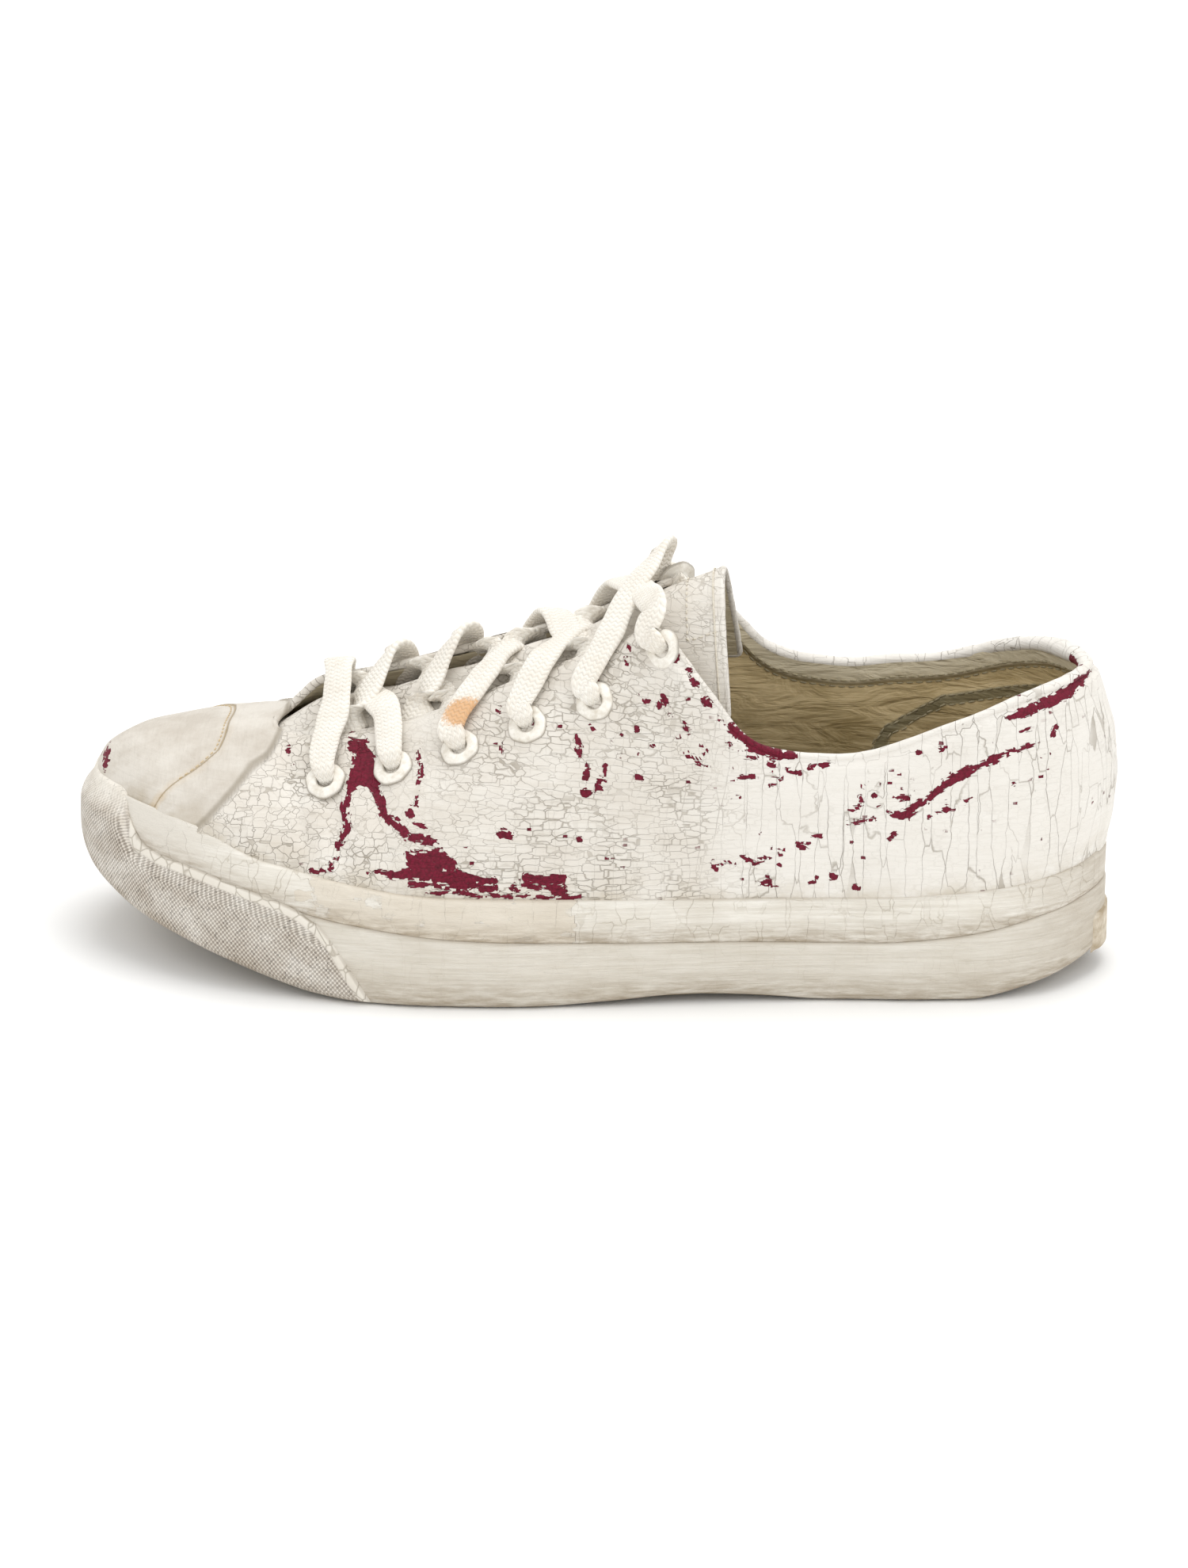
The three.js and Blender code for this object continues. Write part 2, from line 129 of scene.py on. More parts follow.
# How square each half section is, where its dome starts, and how its wall leans and its ridge lies.
fullness_of = {
    LATERAL: curve_through([
        [0, 2.1], [25, 2.3], [50, 1.8], [70, 1.4], [100, 1.35], [145, 1.45], [168, 1.5], [195, 2], [298, 2],
    ]),
    MEDIAL: curve_through([
        [0, 2.1], [25, 2.3], [60, 1.9], [100, 1.75], [145, 2.05], [165, 2.6], [195, 2.3], [298, 2],
    ]),
}
top_fullness = curve_through([
    [0, 2], [45, 1.9], [70, 1.55], [100, 1.6], [145, 1.8], [168, 2.2], [195, 2], [298, 2],
])
dome_start = curve_through([[0, 34], [40, 32], [80, 30], [298, 30]])
lean_of = {
    LATERAL: curve_through([[160, 0], [200, 0.04], [240, 0.04], [275, 0]]),
    MEDIAL: curve_through([[160, 0], [200, 0.12], [230, 0.1], [275, 0]]),
}
ridge_share = curve_through([[0, 0.5], [60, 0.52], [140, 0.54], [200, 0.5], [298, 0.5]])
heel_curve = curve_through([
    [27, 0], [37, 0.2], [48, 2.2], [58, 2.9], [71, 2], [80, -0.6], [90, -4], [110, -12],
])
THROAT = -90
slot_half = curve_through([
    [-90, 0], [-89.3, 3.5], [-87, 6.5], [-82, 9], [-74, 10.5], [-60, 11], [-30, 11.5],
    [0, 12.5], [12, 14.5], [20, 16.5], [26, 19], [30, 23],
])
collar_tilt = curve_through([[60, 0.033], [80, 0.033], [105, -0.045], [150, -0.045]])


def heel_shift(x, z):
    """How far the heel counter's curve carries a point backwards."""
    return heel_curve(z) * smooth((x - 70) / 65)


def stay_curl(x, y):
    """How far the worn medial eyestay has curled up at its edge."""
    inward = np.clip(1 - (y - slot_half(x)) / 15, 0, 1)
    along = smooth((x + 90) / 14) * (1 - 0.55 * smooth((x + 45) / 50)) * (1 - smooth((x - 4) / 18))
    return np.where(np.asarray(y) > 0, 8 * inward**2 * along, 0)


class Form:
    """The foot form grown by `out` mm: 0 is the leather's outer face, the tapes lie further out."""

    def __init__(self, out):
        self.out = out
        ring = outline + outline_out * (out - TAPE - GAP)
        ring = np.roll(ring, -ring[:, 0].argmin(), 0)
        heel = ring[:, 0].argmax()
        self.edges = {LATERAL: ring[:heel + 1], MEDIAL: np.concatenate([ring[:1], ring[heel:][::-1]])}
        self.toe, self.heel = ring[0, 0], ring[heel, 0]

    def edge(self, side, x):
        return np.interp(x, self.edges[side][:, 0], self.edges[side][:, 1])

    def section(self, x):
        away = np.asarray(x) - self.toe
        lateral, medial = self.edge(LATERAL, x), self.edge(MEDIAL, x)
        middle = lateral + (medial - lateral) * ridge_share(away)
        return away, middle, dome_start(away), ridge_rise(away) + self.out * smooth(away / 15)

    def width_at(self, side, x, z):
        """Sideways place of the face at station x and height z."""
        away, middle, start, ridge = self.section(x)
        rise = np.clip((z - start) / (ridge - start), 0, 1)
        share = (1 - rise ** top_fullness(away)) ** (1 / fullness_of[side](away))
        lean = side * lean_of[side](away) * (ridge - start) * rise * (1 - rise)
        return middle + (self.edge(side, x) - middle) * share + lean

    def height_at(self, x, y):
        """Height of the face over a place in plan."""
        away, middle, start, ridge = self.section(x)
        lateral = y < middle
        edge = np.where(lateral, self.edge(LATERAL, x), self.edge(MEDIAL, x))
        fullness = np.where(lateral, fullness_of[LATERAL](away), fullness_of[MEDIAL](away))
        share = np.clip((y - middle) / (edge - middle), 0, 1)
        return start + (ridge - start) * (1 - share**fullness) ** (1 / top_fullness(away))

    def half_section(self, x, side, count):
        """Points up one side, from behind the foxing to the ridge, eyestay or collar, evenly spaced."""
        away, middle, start, ridge = self.section(x)
        rise = np.sin(np.linspace(0, math.pi / 2, 400)) ** 1.15
        climb = start + (ridge - start) * rise
        halves = [np.stack([self.width_at(half, x, climb), climb], 1) for half in (side, -side)]
        wall = np.linspace(ground_line(x) + 15, start - 0.2, 30)
        wall = np.stack([np.full(30, halves[0][0, 0]), wall], 1)
        path = np.concatenate([wall, halves[0], halves[1][::-1][1:]])
        y, z = path.T
        if THROAT < x < 60:
            limit = side * slot_half(x)
        else:
            limit = middle * (1 - smooth((x + 110) / 20)) - side * (5 if x > 0 else 0)
        inside = np.minimum(side * (y - limit), collar_line(x + heel_shift(x, z)) + collar_tilt(x) * y - z)
        inside[:31] = 1
        past = np.nonzero(inside < 0)[0]
        if len(past):
            i = past[0]
            t = inside[i - 1] / (inside[i - 1] - inside[i])
            path = np.concatenate([path[:i], [path[i - 1] + (path[i] - path[i - 1]) * t]])
        run = run_along(path)
        even = np.linspace(0, run[-1], count)
        y, z = points_at(even, run, path).T
        lift = np.where(z > 45, stay_curl(x, y), 0)
        return np.stack([x + heel_shift(x, z), y, z + lift], 1), run[-1] - even

    def stations(self, count, start=None):
        first = self.toe if start is None else start
        return first + (self.heel - first) * (1 - np.cos(np.linspace(0, math.pi, count))) / 2

    def side_grid(self, side, stations, count):
        """One side of the upper as a grid, with each point's distance from the cut edge."""
        rows = [self.half_section(x, side, count) for x in self.stations(stations)]
        return np.array([row[0] for row in rows]), np.array([row[1] for row in rows])

    def level(self, side, share, line):
        """Points along the face, `share` of the way from toe to heel, on a side-view line z = line(x)."""
        front = np.linspace(self.toe, self.toe + 40, 400)
        ridge = self.section(front)[3]
        x = self.toe + (self.heel - self.toe) * share
        z = line(x)
        for _ in range(12):
            tip = np.interp(z, ridge, front)
            x = tip + (self.heel - tip) * share
            z = line(x + heel_shift(x, z))
        return np.stack([x + heel_shift(x, z), self.width_at(side, x, z), z], -1)


def unit(vectors):
    """Each vector made one long."""
    return vectors / np.maximum(np.linalg.norm(vectors, axis=-1, keepdims=True), 1e-9)


def run_along(path):
    """Distance in mm along a path to each of its points."""
    return np.concatenate([[0], np.cumsum(np.linalg.norm(np.diff(path, axis=0), axis=1))])


def points_at(where, along, rows):
    """Rows of values read off at places between those they are known for."""
    return np.stack([np.interp(where, along, column) for column in np.transpose(rows)], -1)


def soft_wave(x, y, z, size, seed):
    """Smooth uneven swell in about -1..1, from a few crossing waves `size` mm long."""
    rng = np.random.default_rng(seed)
    total = 0
    for _ in range(6):
        way = rng.normal(size=3)
        way *= 2 * math.pi / (np.linalg.norm(way) * size * rng.uniform(0.7, 1.4))
        total = total + np.sin(x * way[0] + y * way[1] + z * way[2] + rng.uniform(0, 6.3))
    return total / 3.5


def outward_of(grid, side):
    """Unit normals of a side grid, pointing away from the foot."""
    return -side * unit(np.cross(np.gradient(grid, axis=0), np.gradient(grid, axis=1)))


def grid_faces(rows, columns, wrap=False, ring=False, flip=False, first=0):
    """Quads of a grid stored row by row, closed round each row if wrap is set, and last to first if ring."""
    i, j = np.meshgrid(np.arange(rows - (not ring)), np.arange(columns - (not wrap)), indexing="ij")
    k, below = (j + 1) % columns, (i + 1) % rows * columns
    quads = np.stack([i * columns + j, i * columns + k, below + k, below + j], -1)
    quads = quads.reshape(-1, 4) + first
    return quads[:, ::-1] if flip else quads


def shape(name, points, faces, slot, material, replaces=(), **marks):
    """A smooth mesh from points in mm, welded, riding on the shoe. Its marks are kept on its points."""
    mesh = bpy.data.meshes.new(name)
    mesh.from_pydata((np.asarray(points) * MM).tolist(), [], [list(map(int, face)) for face in faces])
    for mark, values in marks.items():
        values = np.ravel(np.float32(values)) + np.zeros(len(points), np.float32)
        mesh.attributes.new(mark, "FLOAT", "POINT").data.foreach_set("value", values)
    welded = bmesh.new()
    welded.from_mesh(mesh)
    bmesh.ops.remove_doubles(welded, verts=welded.verts, dist=0.01 * MM)
    bmesh.ops.dissolve_degenerate(welded, edges=welded.edges, dist=0.005 * MM)
    welded.to_mesh(mesh)
    welded.free()
    mesh.shade_smooth()
    mesh.materials.append(material)
    obj = bpy.data.objects.new(name, mesh)
    bpy.context.collection.objects.link(obj)
    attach(obj, "root")
    if replaces:
        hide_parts(*replaces)
    return obj


def linear(code):
    """An sRGB hex value as the linear colour that a shader takes."""
    parts = [int(code[i:i + 2], 16) / 255 for i in (1, 3, 5)]
    return tuple(c / 12.92 if c <= 0.04045 else ((c + 0.055) / 1.055) ** 2.4 for c in parts) + (1.0,)


def feed(socket, value):
    """Sets an input to a number or hex colour, or links it to a socket or a node's first open output."""
    if isinstance(value, bpy.types.Node):
        value = next(each for each in value.outputs if each.enabled)
    if isinstance(value, bpy.types.NodeSocket):
        socket.id_data.links.new(value, socket)
    elif value is not None:
        socket.default_value = linear(value) if isinstance(value, str) else value


def add(tree, kind, *inputs, **settings):
    """Adds one node, whose kind may be followed by what it mixes or works out. Its open inputs are fed in
    order, and None leaves one as it is."""
    kind, _, mode = kind.partition(" ")
    made = tree.nodes.new(kind if "Node" in kind else "ShaderNode" + kind)
    if mode:
        setattr(made, "data_type" if kind == "Mix" else "operation", mode)
    for name, value in settings.items():
        setattr(made, name, value)
    for socket, value in zip([each for each in made.inputs if each.enabled], inputs):
        feed(socket, value)
    return made


def at_size(node, place, sizes, start=None, turn=None):
    """Coordinates in which one unit of a pattern is as many mm long, across and high as `sizes`."""
    return node("Mapping", place, start, turn, tuple(1000 / size for size in sizes))


def finish(name, roughness, *marks):
    """A new material, what adds a node to it, its shader's inputs, the object's own coordinates, and its
    marks: the values kept on the mesh under those names."""
    material = bpy.data.materials.new(name)
    material.use_nodes = True
    node = functools.partial(add, material.node_tree)
    surface = material.node_tree.nodes["Principled BSDF"].inputs
    feed(surface["Roughness"], roughness)
    kept = [node("Attribute", attribute_name=mark).outputs["Fac"] for mark in marks]
    return material, node, surface, node("TexCoord").outputs["Object"], *kept


def coat(node, surface, color, *reliefs):
    """Feeds the shader a colour, and bumps laid over each other, each a pattern and its height in mm."""
    relief = None
    for pattern, height in reliefs:
        relief = node("Bump", 1.0, height * MM, None, pattern, relief)
    feed(surface["Base Color"], color)
    feed(surface["Normal"], relief)


# Where the quarter laps over the vamp, by height, and where the vamp laps over the toe cap, by width.
quarter_front = curve_through([[40, -113], [47, -105], [51, -101], [55, -97], [59, -93], [62, -88.5],
                               [66, -86]])
cap_seam = curve_through([
    [-26, -124], [-24, -120], [-20, -111], [-17, -107], [-13, -104], [-5, -103], [10, -103], [18, -104],
    [22, -107], [25, -111], [29, -120], [31, -124],
])

# Flex creases: station, lean, depth and half width in mm, and the heights between which each one runs.
CREASES = [
    (-79, -0.45, 0.9, 2.6, 38, 68), (-68, -0.3, 1.1, 3.0, 35, 66), (-54, -0.2, 0.9, 3.4, 34, 62),
    (-41, 0.1, 0.6, 3.6, 34, 60), (24, 0.5, 0.7, 4.5, 50, 95), (44, 0.7, 0.6, 5.0, 40, 75),
    (84, 0.6, 0.4, 3.5, 40, 72), (112, -0.2, 0.4, 4.0, 45, 80),
]

# Paint knocked off the lateral side: strokes of (station, height, half width).
LATERAL_CHIPS = [
    [(-66.5, 66.5, 0.5), (-62, 65, 2.2), (-60.5, 61.5, 3.6), (-57.8, 60, 2.2)],
    [(-62.5, 61, 2.2), (-64.5, 57, 1.0), (-65.5, 53, 1.2), (-64.2, 49, 1.0), (-66.3, 45, 0.6)],
    [(-68, 40, 0.9), (-66.5, 42.5, 0.4)], [(-73.5, 38.4, 0.8), (-70.5, 38.3, 0.7)],
    [(-58.5, 60, 1.6), (-56.2, 56, 0.9), (-53.5, 52.5, 0.8), (-50.5, 51, 1.1), (-47.5, 49.5, 0.6)],
    [(-46, 67, 0.5), (-44, 63, 0.5), (-45, 60, 0.2), (-44.6, 56, 0.2)],
    [(-46.5, 54.5, 0.8), (-45, 52, 0.5), (-42, 51, 0.9)],
    [(-46, 48.4, 0.7), (-42, 48.2, 0.9), (-37.5, 47.4, 0.5)],
    [(-46.5, 44.8, 1.1), (-44.5, 42.6, 2.0), (-37, 43.4, 2.4), (-34.5, 42.2, 1.8)],
    [(-57, 39.6, 0.3), (-50, 39.2, 0.9), (-45.5, 40, 1.6), (-34, 39.8, 1.8), (-22, 38.4, 1.0)],
    [(-46, 37.2, 0.8), (-33, 37.2, 0.9), (-21.5, 36.8, 1.3)],
    [(-40, 35, 0.6), (-31, 34.9, 0.7), (-21, 34.6, 0.5)], [(-16.2, 37, 0.9), (-14.8, 36, 0.5)],
    [(-12.5, 39.6, 1.4), (-8, 38.9, 1.7), (-3.5, 39.2, 1.6)],
    [(-12.5, 37.2, 1.0), (-7, 36.6, 1.0), (-2.5, 36.2, 1.2)], [(-4.5, 34.9, 1.2), (-2.5, 35, 0.9)],
    [(-19, 33.9, 0.45), (-8, 33.8, 0.6), (4, 33.8, 0.4)], [(-23, 79, 0.7)],
    [(-21.4, 72.5, 0.2), (-21, 70, 0.6)], [(-20.5, 51.2, 0.8), (-18, 50.4, 1.0)], [(-14, 54.5, 0.4)],
    [(-13, 59, 0.5)], [(-0.5, 76, 0.4), (0.8, 73, 0.8), (1.5, 71, 0.3)], [(3.2, 62.8, 0.9)],
    [(6.5, 65.5, 0.5), (7.2, 63, 0.7)], [(2, 50.4, 0.5)], [(-30, 47.4, 0.5)], [(-83.5, 62.8, 0.8)],
    [(-81.5, 60.6, 0.6)], [(58, 67, 0.6)], [(71, 72, 0.5)], [(67, 36.6, 0.8)],
    [(20, 101.6, 0.6), (24, 101.8, 0.9)], [(27.6, 99.6, 0.8)], [(31.5, 97, 0.6), (33.5, 94, 0.9)],
    [(36.5, 90.2, 0.7), (38.5, 87.8, 0.6)], [(40.6, 85.2, 0.7)],
    [(43.6, 83, 0.8), (47, 79.8, 1.3), (51, 77, 1.5), (56, 75.2, 1.4), (61, 74, 0.8)],
    [(43, 78, 0.5), (45, 77.4, 0.4)], [(48, 74.6, 0.5), (51, 74, 0.5)], [(55, 72, 0.7), (58, 71.6, 0.4)],
    [(24, 90, 0.4), (25.5, 88, 0.4)], [(27, 84.6, 0.5)], [(30, 83, 0.4), (31.6, 81.4, 0.5)],
    [(29, 79.6, 0.4)], [(37, 76.2, 0.5)], [(33, 73.8, 0.4), (35, 73.6, 0.4)], [(39, 72.6, 0.4)],
    [(44, 71.4, 0.5)], [(13.4, 96, 0.4), (13.6, 99, 0.4)], [(16, 101.5, 0.4)],
    [(17.5, 89, 0.5), (20, 87.4, 0.4)], [(23, 87, 0.4)], [(4.2, 78.6, 0.5), (6, 77.2, 0.4)],
    [(10.5, 76.5, 0.5)], [(13, 78, 0.4)], [(18, 73.6, 0.4)], [(17.5, 67.6, 0.4), (19, 67.2, 0.4)],
    [(3.5, 70, 0.4), (3.4, 65.4, 0.7)], [(8.6, 69.4, 0.4), (8.2, 65.6, 0.6)],
    [(39, 42.6, 0.4), (42, 42.8, 0.4)], [(45, 42.6, 0.4)], [(52, 44.4, 0.4), (55, 44.6, 0.4)],
    [(58, 45, 0.4)], [(51, 42, 0.5)], [(37.6, 40, 0.4)], [(52, 36.8, 0.4), (55, 36.8, 0.4)],
    [(63, 47.6, 0.6), (66, 48.6, 0.5)], [(17, 80, 0.4)], [(22, 76, 0.5)], [(13, 73, 0.4)],
    [(46, 68.8, 0.5), (48, 68.6, 0.5)], [(66, 71.4, 0.6), (70, 71.8, 0.5)],
    [(55, 69.2, 0.7), (58, 68.6, 0.4)], [(60, 70.2, 0.5), (63, 69.4, 0.4)],
    [(121, 85, 0.7), (124, 85.6, 1.2), (131, 87.2, 1.3), (138, 88.8, 1.4), (142, 89.8, 0.9)],
    [(124, 80.6, 0.4), (127, 80.8, 0.5)], [(76, 54.4, 0.4), (81, 55.4, 0.5), (84, 56.2, 0.5)],
    [(89, 57.2, 0.6), (93, 57.6, 1.3), (97, 60.6, 1.1), (101, 64.4, 1.0), (103.5, 66.6, 1.4), (108, 69.5, 1.5)],
    [(108, 69.5, 1.5), (111.5, 71.2, 1.1), (117, 73.2, 1.3), (121, 75, 0.8), (126, 76, 0.6), (130, 76.6, 0.4)],
    [(84, 63.2, 0.6)], [(90, 62.4, 0.7), (93, 62.8, 0.5)], [(81, 66, 0.4)],
    [(99, 57.2, 0.4), (102, 57.8, 0.4)], [(108, 62, 0.4), (111, 62.4, 0.3)], [(104, 61, 0.5)],
    [(130, 72.4, 0.5), (132, 72.8, 0.4)], [(77, 58.8, 0.4), (79, 59, 0.6)], [(87.5, 60.6, 0.7)],
    [(88, 58.6, 0.9)], [(104, 59, 0.7)], [(109.5, 61.4, 0.7)], [(134, 80, 0.6), (133, 78, 0.5)],
    [(132, 69, 0.5)], [(122.5, 65.6, 0.5)], [(90, 51.4, 0.6), (88.5, 50, 0.4)], [(77.5, 48.8, 0.6)],
    [(66, 50.2, 0.7)], [(62.5, 48.6, 0.5)], [(72.5, 38.4, 1.1)], [(79, 35, 0.9)], [(102, 77.4, 0.6)],
    [(96, 76, 0.7)], [(-140.2, 56, 0.7), (-141.6, 52, 0.9)], [(-138.2, 54, 0.8), (-138.9, 51.4, 1.1)],
    [(39.6, 43.4, 0.4), (39.8, 41, 0.4)], [(42, 43.6, 0.4), (44, 43.4, 0.4)],
    [(47, 45, 0.4), (49, 43.6, 0.4)], [(51.5, 43.5, 0.3), (54, 44.2, 0.4)],
    [(55.6, 46.8, 0.4), (60, 46.9, 0.3)], [(57.5, 41.8, 0.4)], [(62.8, 46.9, 0.3), (65.5, 46.7, 0.4)],
    [(53.5, 36.2, 0.3), (59.5, 35.8, 0.4)], [(54.4, 38.5, 0.4)], [(66.5, 38, 0.3), (68, 38, 0.4)],
    [(52.8, 51.6, 0.4)], [(59, 53, 0.3)], [(67, 50.6, 0.5), (69, 51, 0.4)],
    [(34, 72.6, 0.4), (37.5, 71.6, 0.5)], [(31.6, 75.8, 0.4), (32, 73.2, 0.4)],
    [(35.2, 77.6, 0.4), (36, 75, 0.4)], [(30.4, 67.8, 0.4)], [(38.8, 66.2, 0.4), (40.2, 65.8, 0.4)],
    [(43, 68.6, 0.4), (45, 68.4, 0.4)], [(50, 68.6, 0.4)], [(55, 66, 0.5), (58.5, 65.8, 0.4)],
    [(43, 63, 0.4), (46, 62.6, 0.4)], [(80, 62.6, 0.4), (80.4, 60.8, 0.4)],
    [(85, 59.8, 0.4), (87, 60.2, 0.4)],
]
# The like on the medial side, where the shoe bends, rubs the other shoe and slips on the heel.
MEDIAL_CHIPS = [
    [(-64, 60, 1.6), (-61, 55, 1.1), (-59, 50, 1.4), (-55, 45, 0.9)], [(-52, 42, 1.8), (-44, 41, 1.3)],
    [(-38, 38, 1.0), (-30, 37, 0.7)], [(-72, 47, 0.7)], [(-30, 56, 0.6)], [(-12, 49, 1.0), (-8, 47, 0.6)],
    [(10, 62, 0.6)], [(44, 80.6, 0.9), (48, 77.6, 1.2), (53, 75.6, 1.3), (60, 74, 0.9)],
    [(84, 50, 0.5), (90, 54, 0.8), (97, 58, 1.0)], [(104, 62, 0.8), (110, 66, 0.6)],
    [(94, 83.6, 0.4), (98, 84, 0.4)], [(106, 88.2, 0.5), (112, 88.8, 0.6)], [(120, 90, 0.5), (126, 91, 0.5)],
    [(134, 92.4, 0.4)], [(70, 40, 1.0)], [(28, 44, 0.6)],
    [(-20, 86, 0.9), (-12, 88.5, 0.8)], [(-50, 75, 0.8), (-44, 77, 0.7)], [(-30, 81, 0.7)],
]


def nearest_on(x, z, start, end):
    """Share of the way along a straight line to the spot nearest (x, z), and how far away that is."""
    dx, dz = end[0] - start[0], end[1] - start[1]
    t = np.clip(((x - start[0]) * dx + (z - start[1]) * dz) / max(dx * dx + dz * dz, 1e-9), 0, 1)
    return t, np.hypot(x - start[0] - t * dx, z - start[1] - t * dz)


def depth_in(strokes, x, z):
    """Distance in mm inside the nearest stroke, negative outside."""
    best = np.full(np.shape(x), -50.0)
    for stroke in strokes:
        ends = stroke if len(stroke) > 1 else stroke * 2
        for (*start, r0), (*end, r1) in zip(ends[:-1], ends[1:]):
            t, away = nearest_on(x, z, start, end)
            best = np.maximum(best, r0 + (r1 - r0) * t - away)
    return best


def past(line, x, along):
    """Distance in mm behind a line x = line(along)."""
    slope = line(along + 0.5) - line(along - 0.5)
    return (x - line(along)) / np.sqrt(1 + slope**2)


def leather_swell(x, y, z):
    """How far laps, the heel strip and uneven swelling stand up from the plain form."""
    rise = 1.1 * smooth(past(quarter_front, x, z) / 1.4 + 0.3)
    rise = rise + 0.6 * smooth(past(cap_seam, x, y) / 1.2 + 0.5)
    rise += 0.8 * smooth((7 - np.abs(y)) / 1.2 + 0.5) * smooth((x - 120) / 4)
    return rise + 0.5 * soft_wave(x, y, z, 38, 3) + 0.2 * soft_wave(x, y, z, 15, 5)


def surface_marks(x, y, z):
    """What the paint needs to know at each point: bare patches, laps, seam and height over the foxing."""
    return {
        "bare": np.where(y < 8, depth_in(LATERAL_CHIPS, x, z), depth_in(MEDIAL_CHIPS, x, z)),
        "lap": np.clip(past(quarter_front, x, z), -30, 30),
        "cap": np.clip(past(cap_seam, x, y), -30, 30),
        "foot": z - foxing_top(x),
    }


def wander(node, place, reach):
    """Coordinates that stray by up to half of `reach` metres every few mm, so cracks don't run straight."""
    wobble = node("TexNoise", at_size(node, place, (3, 3, 3)), 1.0, 2.0)
    return node("VectorMath MULTIPLY_ADD", wobble.outputs["Color"], reach, place)


def cell_edges(node, spread):
    """Nought on the edges of squarish cells, growing inwards."""
    near, far = (node("TexVoronoi", spread, 1.0, distance="CHEBYCHEV", feature=each) for each in ("F1", "F2"))
    return node("Math SUBTRACT", far, near)


